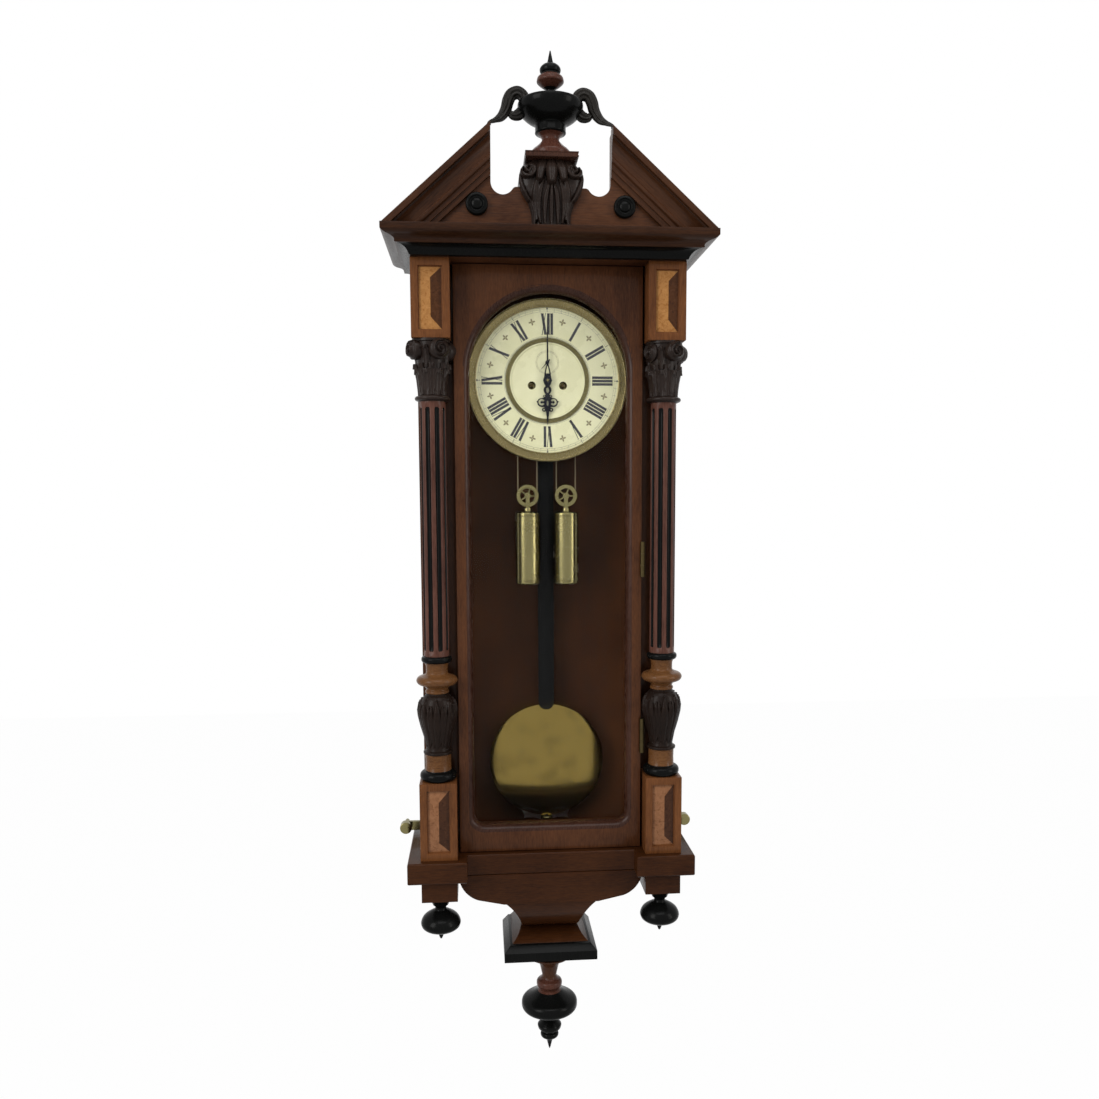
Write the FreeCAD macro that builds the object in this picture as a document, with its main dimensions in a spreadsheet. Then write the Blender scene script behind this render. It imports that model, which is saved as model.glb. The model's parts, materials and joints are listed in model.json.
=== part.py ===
import FreeCAD, Part
import math
import os
import Sketcher

# Wall clock in a tall glazed case with two weights and a long pendulum.
# The origin is the middle of the hanger hole, on the wall plane. X runs to the
# right, the case stands forward of the wall towards -Y, and Z is up.

doc = FreeCAD.newDocument("wall_regulator")
sheet = doc.addObject("Spreadsheet::Sheet", "sizes")

SIZES = {
    # Overall scheme, as heights from the dial centre and depths from the wall
    "dial_drop": 147.5,
    "block_rise": 138.4,
    "case_height": 747.5,
    "side_out": 164.0,
    "side_thick": 18.0,
    "back_thick": 14.0,
    "frame_back": 76.0,
    "frame_front": 88.0,
    # Backboard and hanger
    "back_hump": 40.0,
    "hump_half": 60.0,
    "hanger_length": 56.0,
    "hanger_height": 24.0,
    "hanger_thick": 2.0,
    "hanger_bore": 5.0,
    "nail_room": 9.0,
    "nail_depth": 8.0,
    # Side windows
    "window_margin": 14.0,
    "window_rail": 40.0,
    "pane_thick": 2.0,
    # Front frame and door
    "frame_open": 112.0,
    "frame_rail": 30.0,
    "arch_rise": 6.4,
    "door_half": 118.2,
    "door_gap": 1.0,
    "door_back_gap": 0.3,
    "door_front": 110.0,
    "sight_half": 99.0,
    "sight_bottom": 41.5,
    "sight_corner": 14.0,
    "bead_radius": 10.0,
    "rebate_wide": 5.0,
    "rebate_deep": 7.0,
    "glass_thick": 2.5,
    # Hinges at the right edge of the door
    "hinge_x": 119.2,
    "hinge_depth": 113.6,
    "hinge_radius": 3.2,
    "hinge_pin": 1.5,
    "hinge_third": 15.0,
    "hinge_gap": 0.2,
    "hinge_leaf": 1.0,
    "hinge_upper": 250.0,
    "hinge_lower": 480.0,
    # Fits
    "play": 0.05,
    "slack": 0.3,
    "overrun": 2.0,
    # Corner blocks, columns and their turnings
    "column_x": 144.7,
    "block_wide": 47.0,
    "block_deep": 47.3,
    "upper_block": 94.3,
    "lower_block": 100.5,
    "panel_wide": 29.0,
    "panel_margin": 9.5,
    "panel_deep": 4.0,
    "panel_rise": 6.0,
    "panel_ridge": 1.2,
    "panel_gap": 1.0,
    "capital_high": 74.8,
    "abacus_high": 5.0,
    "abacus_half": 23.0,
    "bell_radius": 14.0,
    "leaf_out": 19.0,
    "volute_radius": 9.5,
    "volute_thick": 9.0,
    "volute_reach": 24.0,
    "volute_lift": 1.0,
    "leaf_radius": 4.2,
    "leaf_belly_share": 0.5,
    "leaf_neck_share": 0.5,
    "leaf_tip_share": 0.72,
    "ring_high": 8.5,
    "ring_radius": 20.5,
    "shaft_radius": 16.0,
    "collar_high": 8.5,
    "collar_radius": 19.3,
    "neck_high": 13.8,
    "neck_radius": 12.5,
    "bun_high": 17.0,
    "bun_radius": 25.2,
    "bun_neck_high": 8.0,
    "bun_neck_radius": 14.0,
    "vase_high": 74.2,
    "vase_radius": 25.2,
    "vase_drop": 22.0,
    "vase_foot": 15.0,
    "fillet_high": 4.0,
    "fillet_radius": 18.5,
    "drum_high": 22.0,
    "drum_side": 16.5,
    "torus_high": 13.5,
    "torus_radius": 23.0,
    # Cornice: overhangs are measured outwards from the top board's edge
    "core_half": 160.0,
    "core_front": 137.9,
    "top_thick": 12.0,
    "frieze_high": 10.5,
    "frieze_foot": 8.2,
    "frieze_head": 22.0,
    "cornice_high": 18.7,
    "cornice_foot": 24.0,
    "cornice_step": 3.5,
    "cornice_lip": 7.5,
    "cornice_out": 39.1,
    # Pediment
    "tymp_back": 145.0,
    "tymp_front": 157.0,
    "rake_front": 177.0,
    "rake_foot": 197.0,
    "rake_end": 71.0,
    "rake_rise": 113.5,
    "rake_wide": 40.2,
    "rake_fillet": 7.0,
    "rake_groove": 3.0,
    "rake_cove": 13.0,
    "rake_bead": 6.0,
    "rake_step": 5.0,
    "tymp_set": 3.0,
    "scoop_in": 40.0,
    "scoop_floor": 38.5,
    "scoop_shoulder": 47.5,
    "scoop_radius": 14.0,
    "scoop_lip": 5.0,
    "roundel_x": 87.5,
    "roundel_rise": 26.4,
    "roundel_radius": 13.0,
    "roundel_high": 7.0,
    "roundel_rim": 3.0,
    # Corbel under the urn
    "corbel_high": 82.5,
    "corbel_half": 38.5,
    "corbel_foot": 24.0,
    "corbel_waist": 30.0,
    "corbel_back": 130.0,
    "corbel_front": 178.0,
    "corbel_belly": 53.0,
    "corbel_abacus": 4.5,
    "corbel_abacus_half": 30.0,
    "corbel_leaf": 4.0,
    # Urn and its finial, turned in one
    "urn_depth": 152.0,
    "urn_skirt": 24.0,
    "urn_lip": 2.0,
    "urn_waist": 10.2,
    "urn_waist_rise": 16.5,
    "urn_foot": 17.9,
    "urn_foot_rise": 28.5,
    "urn_foot_high": 9.0,
    "urn_bowl": 36.0,
    "urn_bowl_rise": 59.5,
    "urn_top_rise": 67.5,
    "urn_neck": 4.2,
    "urn_neck_rise": 76.5,
    "urn_bead": 15.7,
    "urn_bead_rise": 86.6,
    "urn_ring_rise": 95.2,
    "urn_ring": 10.0,
    "urn_dome": 12.0,
    "urn_dome_rise": 99.2,
    "urn_spike_rise": 105.2,
    "urn_spike": 4.0,
    "urn_tip_rise": 120.7,
    "urn_tip": 0.8,
    # Scroll handles
    "scroll_thick": 12.0,
    "scroll_tail_x": 76.0,
    "scroll_seat": 0.3,
    # Ledge, apron and pendant
    "ledge_thick": 27.9,
    "ledge_half": 184.7,
    "ledge_front": 144.6,
    "ear_in": 109.0,
    "ledge_mid": 118.0,
    "ledge_round": 2.5,
    "under_wide": 46.0,
    "under_high": 27.5,
    "apron_thick": 18.0,
    "apron_half": 120.0,
    "apron_high": 41.0,
    "apron_flat": 62.0,
    "apron_shoulder": 95.0,
    "pendant_half": 60.0,
    "pendant_high": 106.0,
    "pendant_waist": 38.0,
    "pendant_waist_drop": 91.5,
    "pendant_foot": 51.0,
    "pendant_mid_deep": 60.0,
    "pendant_foot_deep": 95.0,
    "pendant_front": 116.0,
    "plinth_half": 62.0,
    "plinth_deep": 108.0,
    "plinth_high": 20.0,
    "plinth_bevel": 8.0,
    "plinth_sub_half": 46.0,
    "plinth_sub_deep": 92.0,
    "plinth_sub_high": 6.0,
    # Turned drops
    "drop_stem": 8.0,
    "drop_stem_high": 12.0,
    "drop_bowl": 26.0,
    "drop_bowl_drop": 35.0,
    "drop_ball_drop": 50.0,
    "drop_knob": 7.0,
    "drop_knob_drop": 55.0,
    "drop_tip_drop": 63.0,
    "tail_depth": 70.0,
    "tail_top": 30.0,
    "tail_waist": 9.6,
    "tail_waist_drop": 31.0,
    "tail_bead": 17.3,
    "tail_bead_drop": 43.0,
    "tail_join": 14.0,
    "tail_join_drop": 51.0,
    "tail_ball": 38.0,
    "tail_ball_drop": 70.5,
    "tail_under_drop": 92.0,
    "tail_under": 8.0,
    "tail_knob": 16.0,
    "tail_knob_drop": 104.0,
    "tail_small": 12.4,
    "tail_small_drop": 116.0,
    "tail_tip_drop": 138.7,
    "tail_tip": 1.0,
    # Steadying brackets and their screws
    "steady_rise": 9.6,
    "steady_high": 12.4,
    "steady_out": 38.0,
    "steady_edge": 8.0,
    "steady_back": 20.0,
    "steady_thick": 5.0,
    "steady_shank": 3.0,
    "steady_tip": 0.5,
    "steady_end": 36.0,
    "steady_head": 8.0,
    "steady_head_back": 28.0,
    # Movement bracket
    "bracket_half": 50.0,
    "bracket_rise": 75.0,
    "bracket_thick": 4.0,
    "bracket_open": 38.0,
    "bracket_rail": 16.0,
    "arm_half": 42.0,
    "arm_out": 52.0,
    "bar_high": 7.0,
    "bar_back": 40.0,
    "bar_front": 74.0,
    "bar_depth": 52.0,
    "line_hole": 3.5,
    "cock_half": 8.0,
    "cock_low": 60.0,
    "cock_high": 72.0,
    "cock_front": 38.0,
    "cock_slit": 0.75,
    "slit_back": 28.5,
    # Movement plates
    "plate_back": 44.0,
    "plate_thick": 2.5,
    "plate_gap": 24.5,
    "plate_half": 46.0,
    "plate_low": 65.0,
    "plate_high": 62.0,
    "pillar_radius": 3.5,
    "pillar_top_x": 40.0,
    "pillar_top_z": 52.0,
    "pillar_low_x": 25.0,
    "pillar_low_z": 56.0,
    # Arbors, by place on the plates and by radius
    "wind_x": 20.0,
    "wind_drop": 6.0,
    "third_x": 16.0,
    "third_rise": 13.98,
    "seconds_rise": 23.0,
    "anchor_rise": 58.0,
    "hammer_x": 42.0,
    "hammer_rise": 10.0,
    "wind_radius": 1.4,
    "centre_radius": 1.5,
    "thin_radius": 1.2,
    "seconds_radius": 1.0,
    "boss_radius": 2.9,
    "square_side": 4.0,
    "square_end": 83.0,
    # Drums, wheels and motion work, by depth from the wall
    "drum_back": 54.0,
    "drum_front": 66.0,
    "drum_radius": 16.8,
    "drum_flange": 18.4,
    "flange_thick": 0.8,
    "wheel_thick": 1.7,
    "great_back": 47.5,
    "great_hub": 5.0,
    "centre_back": 50.3,
    "third_back": 68.0,
    "escape_back": 62.0,
    "escape_thick": 1.5,
    "escape_radius": 15.5,
    "escape_tooth": 2.6,
    "wheel_hub": 3.6,
    "wheel_rim": 1.9,
    "stud_drop": 14.0,
    "motion_back": 74.4,
    "hour_back": 77.0,
    "pipe_radius": 2.6,
    "hour_pipe": 3.6,
    "anchor_back": 61.5,
    "anchor_thick": 2.5,
    "pallet_in": 13.9,
    "pallet_out": 16.5,
    "pallet_rise": 32.3,
    "anchor_waist": 3.0,
    "anchor_crotch": 46.0,
    "crutch_back": 39.0,
    "crutch_thick": 2.0,
    "crutch_low": 14.0,
    "crutch_pin_drop": 10.0,
    "crutch_pin_back": 31.0,
    # Dial, bezel and hands
    "dial_back": 82.0,
    "dial_thick": 2.0,
    "dial_radius": 99.0,
    "dial_well": 0.8,
    "dial_ring_in": 46.0,
    "dial_ring_out": 52.0,
    "dial_ring_rise": 0.3,
    "dial_foot_ring": 48.0,
    "dial_foot": 2.0,
    "dial_hole": 4.0,
    "wind_hole": 4.7,
    "seconds_hole": 1.6,
    "bezel_in": 90.4,
    "bezel_out": 102.2,
    "bezel_back": 79.0,
    "bezel_front": 88.3,
    "hour_depth": 85.8,
    "minute_depth": 87.9,
    "hand_thick": 0.7,
    "hour_tip": 56.0,
    "hour_boss": 5.6,
    "hour_stem": 1.1,
    "hour_cross": 29.0,
    "hour_lobe": 5.0,
    "hour_lobe_out": 7.5,
    "hour_lobe_hole": 3.0,
    "hour_blade": 38.0,
    "hour_blade_half": 2.2,
    "minute_tip": 80.0,
    "minute_boss": 4.6,
    "minute_stem": 1.0,
    "minute_tip_half": 0.5,
    "minute_cross": 34.0,
    "minute_lobe": 3.0,
    "minute_lobe_out": 4.5,
    "minute_lobe_hole": 1.7,
    "minute_nut": 2.9,
    "minute_nut_back": 88.8,
    "arbor_end": 90.6,
    "seconds_depth": 84.7,
    "seconds_tip": 12.0,
    "seconds_tail": 4.5,
    "seconds_half": 0.55,
    "seconds_boss": 1.8,
    # Pendulum
    "rod_half": 10.65,
    "rod_back": 29.5,
    "rod_front": 36.5,
    "rod_top": 45.0,
    "rod_drop": 437.6,
    "strip_thick": 0.4,
    "strip_top": 73.6,
    "clip_half": 4.0,
    "clip_high": 5.0,
    "cross_pin": 0.8,
    "cross_pin_half": 3.0,
    "wire_radius": 2.5,
    "wire_drop": 600.0,
    "bob_radius": 78.7,
    "bob_drop": 508.6,
    "bob_half": 11.0,
    "bob_edge": 1.6,
    "bob_slot_floor": 2.0,
    "nut_radius": 8.0,
    "nut_high": 5.0,
    "nut_lip": 1.2,
    # Weights, pulleys and gut lines
    "weight_x": 25.2,
    "weight_depth": 62.0,
    "weight_top": 167.0,
    "weight_radius": 16.5,
    "weight_high": 95.5,
    "weight_cap": 5.0,
    "weight_groove": 0.8,
    "weight_boss": 5.0,
    "weight_boss_high": 5.2,
    "yoke_in": 2.9,
    "yoke_thick": 1.2,
    "yoke_half": 2.6,
    "yoke_start": 3.0,
    "yoke_high": 24.5,
    "axle_rise": 21.0,
    "axle_radius": 1.5,
    "axle_half": 5.0,
    "pulley_radius": 14.5,
    "pulley_groove": 11.5,
    "pulley_half": 2.6,
    "pulley_hub": 4.2,
    "pulley_rim": 9.6,
    "gut_radius": 0.6,
    "gut_ring": 12.5,
    # Beat plate, gong and hammer
    "beat_lift": 0.5,
    "beat_wing": 13.5,
    "beat_high": 29.5,
    "beat_half": 34.0,
    "beat_nose": 3.5,
    "beat_thick": 1.6,
    "gong_drop": 40.0,
    "gong_post": 4.0,
    "gong_end": 25.0,
    "gong_depth": 22.0,
    "gong_wire": 1.3,
    "gong_pitch": 6.4,
    "hammer_head": 3.4,
    "hammer_in": 37.6,
    "hammer_out": 52.0,
    "hammer_arm_half": 1.5,
    "hammer_arm_back": 20.5,
    "hammer_arm_thick": 3.0,
}

for row, (name, value) in enumerate(SIZES.items(), 1):
    sheet.set("A%d" % row, name.replace("_", " "))
    sheet.set("B%d" % row, str(value))
    sheet.setAlias("B%d" % row, name)
doc.recompute()


class Dim:
    """A length: its value, and the sheet expression that gives it."""

    def __init__(self, value, text):
        self.value = float(value)
        self.text = text

    def __float__(self):
        return self.value

    def __add__(self, other):
        other = dim(other)
        return Dim(self.value + other.value, "(%s + %s)" % (self.text, other.text))

    def __radd__(self, other):
        return dim(other) + self

    def __sub__(self, other):
        other = dim(other)
        return Dim(self.value - other.value, "(%s - %s)" % (self.text, other.text))

    def __rsub__(self, other):
        return dim(other) - self

    def __mul__(self, other):
        other = dim(other)
        return Dim(self.value * other.value, "(%s * %s)" % (self.text, other.text))

    def __rmul__(self, other):
        return self * other

    def __truediv__(self, other):
        other = dim(other)
        return Dim(self.value / other.value, "(%s / %s)" % (self.text, other.text))

    def __neg__(self):
        return Dim(-self.value, "(0 - %s)" % self.text)


def dim(value):
    if isinstance(value, Dim):
        return value
    return Dim(value, repr(float(value)))


def root(value):
    return Dim(math.sqrt(value.value), "sqrt(%s)" % value.text)


class Named:
    """Gives each cell of the sheet as a Dim under its alias."""

    def __getattr__(self, name):
        return Dim(getattr(sheet, name), "sizes." + name)


S = Named()


def bind(obj, prop, value):
    """Sets a property, and ties it to the sheet where the value comes from it."""
    value = dim(value)
    if "sizes." in value.text:
        obj.setExpression(prop, value.text)
    else:
        parts = prop.split(".")
        target = obj
        for part in parts[:-1]:
            target = getattr(target, part)
        setattr(target, parts[-1], value.value)


def at(obj, x, depth, z):
    """Places an object by its distance from the centre line, the wall and the hanger."""
    bind(obj, "Placement.Base.x", x)
    bind(obj, "Placement.Base.y", -dim(depth))
    bind(obj, "Placement.Base.z", z)
    return obj


def body(name):
    return doc.addObject("PartDesign::Body", name)


def plane(owner, role):
    return [item for item in owner.Origin.OriginFeatures if item.Role == role][0]


def arc(radius, x, y, side=1):
    """A curve to (x, y): side 1 bulges to the right of the way travelled, -1 to the left."""
    return (x, y, radius, side)


def sketch(owner, role, *loops, lift=0):
    """A sketch on one of the body's own planes. Each loop is a list of corners; arc() curves."""
    item = owner.newObject("Sketcher::SketchObject", owner.Name + "_outline")
    item.AttachmentSupport = [(plane(owner, role), "")]
    item.MapMode = "FlatFace"
    if dim(lift).value:
        bind(item, "AttachmentOffset.Base.z", lift)
    for loop in loops:
        if loop[0] == "circle":
            draw_circle(item, *loop[1:])
        else:
            draw_loop(item, loop)
    return item


def pin_point(item, index, end, x, y):
    """Holds one point of a sketch at (x, y) from the sketch origin."""
    x = dim(x)
    y = dim(y)
    if x.value == 0 and y.value == 0:
        item.addConstraint(Sketcher.Constraint("Coincident", index, end, -1, 1))
        return
    for value, kind, axis in ((x, "DistanceX", -2), (y, "DistanceY", -1)):
        if value.value == 0:
            item.addConstraint(Sketcher.Constraint("PointOnObject", index, end, axis))
            continue
        made = item.addConstraint(Sketcher.Constraint(kind, -1, 1, index, end, value.value))
        if "sizes." in value.text:
            item.setExpression("Constraints[%d]" % made, value.text)


def draw_circle(item, x, y, radius):
    centre = FreeCAD.Vector(float(x), float(y), 0)
    index = item.addGeometry(Part.Circle(centre, FreeCAD.Vector(0, 0, 1), float(radius)), False)
    pin_point(item, index, 3, x, y)
    made = item.addConstraint(Sketcher.Constraint("Radius", index, float(radius)))
    item.setExpression("Constraints[%d]" % made, dim(radius).text)


def arc_middle(start, end, radius, side):
    """The middle of the shorter arc from start to end that bulges to the given side."""
    chord = end - start
    half = chord.Length / 2
    if radius < half:
        raise ValueError("an arc of %.2f can't span %.2f" % (radius, chord.Length))
    normal = FreeCAD.Vector(chord.y, -chord.x, 0).normalize()
    sag = radius - math.sqrt(radius * radius - half * half)
    return start + chord / 2 + normal * (sag * side)


def draw_loop(item, loop):
    points = [FreeCAD.Vector(float(p[0]), float(p[1]), 0) for p in loop]
    starts = []
    for number, corner in enumerate(loop):
        start = points[number - 1]
        end = points[number]
        if len(corner) == 2:
            index = item.addGeometry(Part.LineSegment(start, end), False)
            starts.append((index, 1, 2))
            continue
        middle = arc_middle(start, end, float(corner[2]), corner[3])
        if corner[3] > 0:
            index = item.addGeometry(Part.Arc(start, middle, end), False)
            starts.append((index, 1, 2))
        else:
            index = item.addGeometry(Part.Arc(end, middle, start), False)
            starts.append((index, 2, 1))
        made = item.addConstraint(Sketcher.Constraint("Radius", index, float(corner[2])))
        item.setExpression("Constraints[%d]" % made, dim(corner[2]).text)
    for number, (index, first, last) in enumerate(starts):
        after = starts[(number + 1) % len(starts)]
        item.addConstraint(Sketcher.Constraint("Coincident", index, last, after[0], after[1]))
        pin_point(item, index, last, loop[number][0], loop[number][1])


def feature(owner, kind, profile, **settings):
    item = owner.newObject("PartDesign::" + kind, owner.Name + "_" + kind.lower())
    item.Profile = profile
    for prop, value in settings.items():
        if isinstance(value, (Dim, float, int)) and not isinstance(value, bool):
            bind(item, prop, value)
        else:
            setattr(item, prop, value)
    profile.Visibility = False
    owner.Tip = item
    return item


def pad(owner, profile, length, **settings):
    return feature(owner, "Pad", profile, Length=length, **settings)


def pocket(owner, profile, length, **settings):
    """Cuts a profile into the body. A cut that removes nothing is an error."""
    doc.recompute()
    before = owner.Shape.Volume
    item = feature(owner, "Pocket", profile, Length=length, **settings)
    doc.recompute()
    if owner.Shape.Volume > before - 1e-6:
        raise ValueError("a cut missed " + owner.Label)
    return item


def revolve(owner, profile, kind="Revolution"):
    item = feature(owner, kind, profile, Angle=360.0)
    item.ReferenceAxis = (profile, ["V_Axis"])
    return item


def turned(name, points):
    """A solid of revolution about its own Z: points are (radius, height) pairs."""
    owner = body(name)
    revolve(owner, sketch(owner, "XZ_Plane", points))
    return owner


def faced(name, points):
    """A solid of revolution about its own Y: points are (radius, how far forward) pairs."""
    owner = body(name)
    flipped = []
    for point in points:
        if len(point) == 2:
            flipped.append((point[0], -dim(point[1])))
        else:
            flipped.append((point[0], -dim(point[1]), point[2], -point[3]))
    revolve(owner, sketch(owner, "XY_Plane", flipped))
    return owner


def polar(owner, last, count, axis):
    """Repeats a feature around one of the body's axes."""
    item = owner.newObject("PartDesign::PolarPattern", owner.Name + "_ring")
    item.Originals = [last]
    item.Axis = (plane(owner, axis), [""])
    item.Angle = 360.0
    item.Occurrences = count
    owner.Tip = item
    return item


def rect(left, low, right, high):
    return [(left, low), (right, low), (right, high), (left, high)]


def both(points):
    """Closes an outline given for the right half, from low to high, with its mirror image."""
    mirrored = []
    for number in range(len(points) - 1, -1, -1):
        after = points[number + 1] if number + 1 < len(points) else None
        x = -dim(points[number][0])
        if after is not None and len(after) == 4:
            mirrored.append((x, points[number][1], after[2], after[3]))
        else:
            mirrored.append((x, points[number][1]))
    return list(points) + mirrored


NODES = []


def node(name, item):
    item.Label = name
    NODES.append(item)
    return item


def pair(name, left):
    """Joins a piece and its mirror image across the centre line as one sub-part."""
    left.Label = name + "_piece"
    right = doc.addObject("Part::Mirroring", name + "_other")
    right.Source = left
    right.Base = FreeCAD.Vector(0, 0, 0)
    right.Normal = FreeCAD.Vector(1, 0, 0)
    couple = doc.addObject("Part::Compound", name + "_pair")
    couple.Links = [left, right]
    return node(name, couple)


# Heights that several pieces share, measured from the hanger hole
BLOCK_TOP = S.block_rise - S.dial_drop
CORNICE_TOP = BLOCK_TOP + S.frieze_high + S.cornice_high
LEDGE_TOP = BLOCK_TOP - S.case_height
LEDGE_FOOT = LEDGE_TOP - S.ledge_thick
DIAL_Z = -S.dial_drop
BLOCK_MID = S.frame_front + S.block_deep / 2
COLUMN_DEPTH = S.frame_front + S.bun_radius + S.slack


def backboard():
    item = body("backboard_body")
    inner = S.side_out - S.side_thick
    high = S.case_height + S.frieze_high + S.cornice_high
    rim = [
        (inner, 0),
        (inner, high),
        (S.hump_half, high),
        (S.hump_half / 2, high + S.back_hump),
    ]
    pad(item, sketch(item, "XZ_Plane", both(rim)), S.back_thick)
    up = -LEDGE_TOP
    plate = rect(-S.hanger_length / 2, up - S.hanger_height / 2,
                 S.hanger_length / 2, up + S.hanger_height / 2)
    pocket(item, sketch(item, "XZ_Plane", plate), S.hanger_thick, Reversed=True)
    hole = ("circle", 0, up, S.nail_room)
    pocket(item, sketch(item, "XZ_Plane", hole), S.nail_depth, Reversed=True)
    return node("backboard", at(item, 0, 0, LEDGE_TOP))


def hanger_plate():
    item = body("hanger_body")
    outline = rect(-S.hanger_length / 2, -S.hanger_height / 2,
                   S.hanger_length / 2, S.hanger_height / 2)
    hole = ("circle", 0, 0, S.hanger_bore)
    pad(item, sketch(item, "XZ_Plane", outline, hole), S.hanger_thick)
    return node("hanger_plate", at(item, 0, 0, 0))


def sides():
    item = body("side_body")
    wall = rect(-S.frame_back, 0, 0, S.case_height)
    low = S.window_rail
    high = S.case_height - S.window_rail
    hole = rect(-S.frame_back + S.window_margin, low, -S.back_thick - S.window_margin, high)
    pad(item, sketch(item, "YZ_Plane", wall, hole), S.side_thick)
    at(item, S.side_out - S.side_thick, 0, LEDGE_TOP)
    pair("sides", item)
    glass = body("side_pane")
    pad(glass, sketch(glass, "YZ_Plane", hole), S.pane_thick)
    at(glass, S.side_out - S.side_thick / 2, 0, LEDGE_TOP)
    pair("side_glasses", glass)


def arched(half, low, centre, corner):
    """An opening with round lower corners and a half-round head, from low to its top."""
    right = [
        (half - corner, low),
        arc(corner, half, low + corner, 1),
        (half, centre),
        arc(half, 0, centre + half, 1),
    ]
    left = [
        arc(half, -half, centre, 1),
        (-half, low + corner),
        arc(corner, -half + corner, low, 1),
    ]
    return right + left


def front_frame():
    item = body("frame_body")
    outline = rect(-S.side_out, 0, S.side_out, S.case_height)
    centre = S.case_height - S.block_rise + S.arch_rise
    hole = arched(S.frame_open, S.frame_rail, centre, S.sight_corner)
    pad(item, sketch(item, "XZ_Plane", outline, hole), S.frame_front - S.frame_back)
    return node("face_frame", at(item, 0, S.frame_back, LEDGE_TOP))


def top_board():
    item = body("top_body")
    outline = rect(-S.core_half, -S.core_front, S.core_half, -S.back_thick)
    pad(item, sketch(item, "XY_Plane", outline), S.top_thick)
    return node("top_board", at(item, 0, 0, BLOCK_TOP))


def moulding(name, section, low):
    """A moulding in three lengths, mitred at the top board's two front corners."""
    reach = section[-2][0] * 4
    front = body(name + "_front")
    shifted = []
    for point in section:
        y = -S.core_front - dim(point[0])
        if len(point) == 2:
            shifted.append((y, point[1]))
        else:
            shifted.append((y, point[1], point[2], -point[3]))
    profile = sketch(front, "YZ_Plane", shifted)
    pad(front, profile, (S.core_half + reach) * 2, Midplane=True)
    for side in (-1, 1):
        beyond = [
            (S.core_half * side, -S.core_front),
            ((S.core_half + reach) * side, -S.core_front - reach),
            ((S.core_half + reach) * side, -S.core_front),
        ]
        cut = sketch(front, "XY_Plane", beyond)
        pocket(front, cut, reach * 2, Midplane=True)
    left = body(name + "_return")
    shifted = []
    for point in section:
        x = -S.core_half - dim(point[0])
        if len(point) == 2:
            shifted.append((x, point[1]))
        else:
            shifted.append((x, point[1], point[2], -point[3]))
    pad(left, sketch(left, "XZ_Plane", shifted), S.core_front + reach)
    beyond = [
        (-S.core_half, -S.core_front),
        (-S.core_half - reach, -S.core_front - reach),
        (-S.core_half, -S.core_front - reach),
    ]
    pocket(left, sketch(left, "XY_Plane", beyond), reach * 2, Midplane=True)
    at(front, 0, 0, low)
    at(left, 0, 0, low)
    right = doc.addObject("Part::Mirroring", name + "_other")
    right.Source = left
    right.Normal = FreeCAD.Vector(1, 0, 0)
    ring = doc.addObject("Part::Compound", name + "_ring")
    ring.Links = [left, front, right]
    return node(name, ring)


def cornice():
    cove = S.frieze_head - S.frieze_foot
    moulding("frieze", [
        (0, 0),
        (S.frieze_foot, 0),
        arc(cove, S.frieze_head, S.frieze_high, -1),
        (0, S.frieze_high),
    ], BLOCK_TOP)
    swell = S.cornice_high - S.cornice_lip
    middle_x = (S.cornice_foot + S.cornice_out) / 2
    middle_z = (S.cornice_step + swell) / 2
    bend = (S.cornice_out - S.cornice_foot) * 0.9
    moulding("cornice", [
        (0, 0),
        (S.cornice_foot, 0),
        (S.cornice_foot, S.cornice_step),
        arc(bend, middle_x, middle_z, -1),
        arc(bend, S.cornice_out, swell, 1),
        (S.cornice_out, S.cornice_high),
        (0, S.cornice_high),
    ], BLOCK_TOP + S.frieze_high)


def corner_block(name, high, z):
    item = body(name + "_body")
    half = S.block_wide / 2
    pad(item, sketch(item, "XZ_Plane", rect(-half, 0, half, high)), S.block_deep)
    side = S.panel_wide / 2
    top = high - S.panel_margin
    panel = rect(-side, S.panel_margin, side, top)
    pocket(item, sketch(item, "XZ_Plane", panel, lift=S.block_deep), S.panel_deep)
    inset = S.panel_gap
    base = rect(-side + inset, S.panel_margin + inset, side - inset, top - inset)
    ridge = rect(-S.panel_ridge / 2, S.panel_margin + side, S.panel_ridge / 2, top - side)
    hip = item.newObject("PartDesign::AdditiveLoft", name + "_hip")
    hip.Profile = sketch(item, "XZ_Plane", base, lift=S.block_deep - S.panel_deep)
    crest = S.block_deep - S.panel_deep + S.panel_rise
    hip.Sections = [sketch(item, "XZ_Plane", ridge, lift=crest)]
    hip.Ruled = True
    item.Tip = hip
    pair(name, at(item, S.column_x, S.frame_front, z))


DIAGONAL_SHARE = math.sqrt(0.5)
FLUTES = 8
LEAVES_ROUND = 8
FLUTE_HALF_DEGREES = 9.3


def fused(name, pieces):
    item = doc.addObject("Part::MultiFuse", name + "_whole")
    item.Shapes = pieces
    item.Refine = False
    return item


def bead(radius, low, high):
    """A half-round swelling of a turned outline, as two quarter circles going up."""
    low = dim(low)
    return [
        arc(high / 2, radius, low + high / 2, 1),
        arc(high / 2, radius - high / 2, low + high, 1),
    ]


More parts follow.
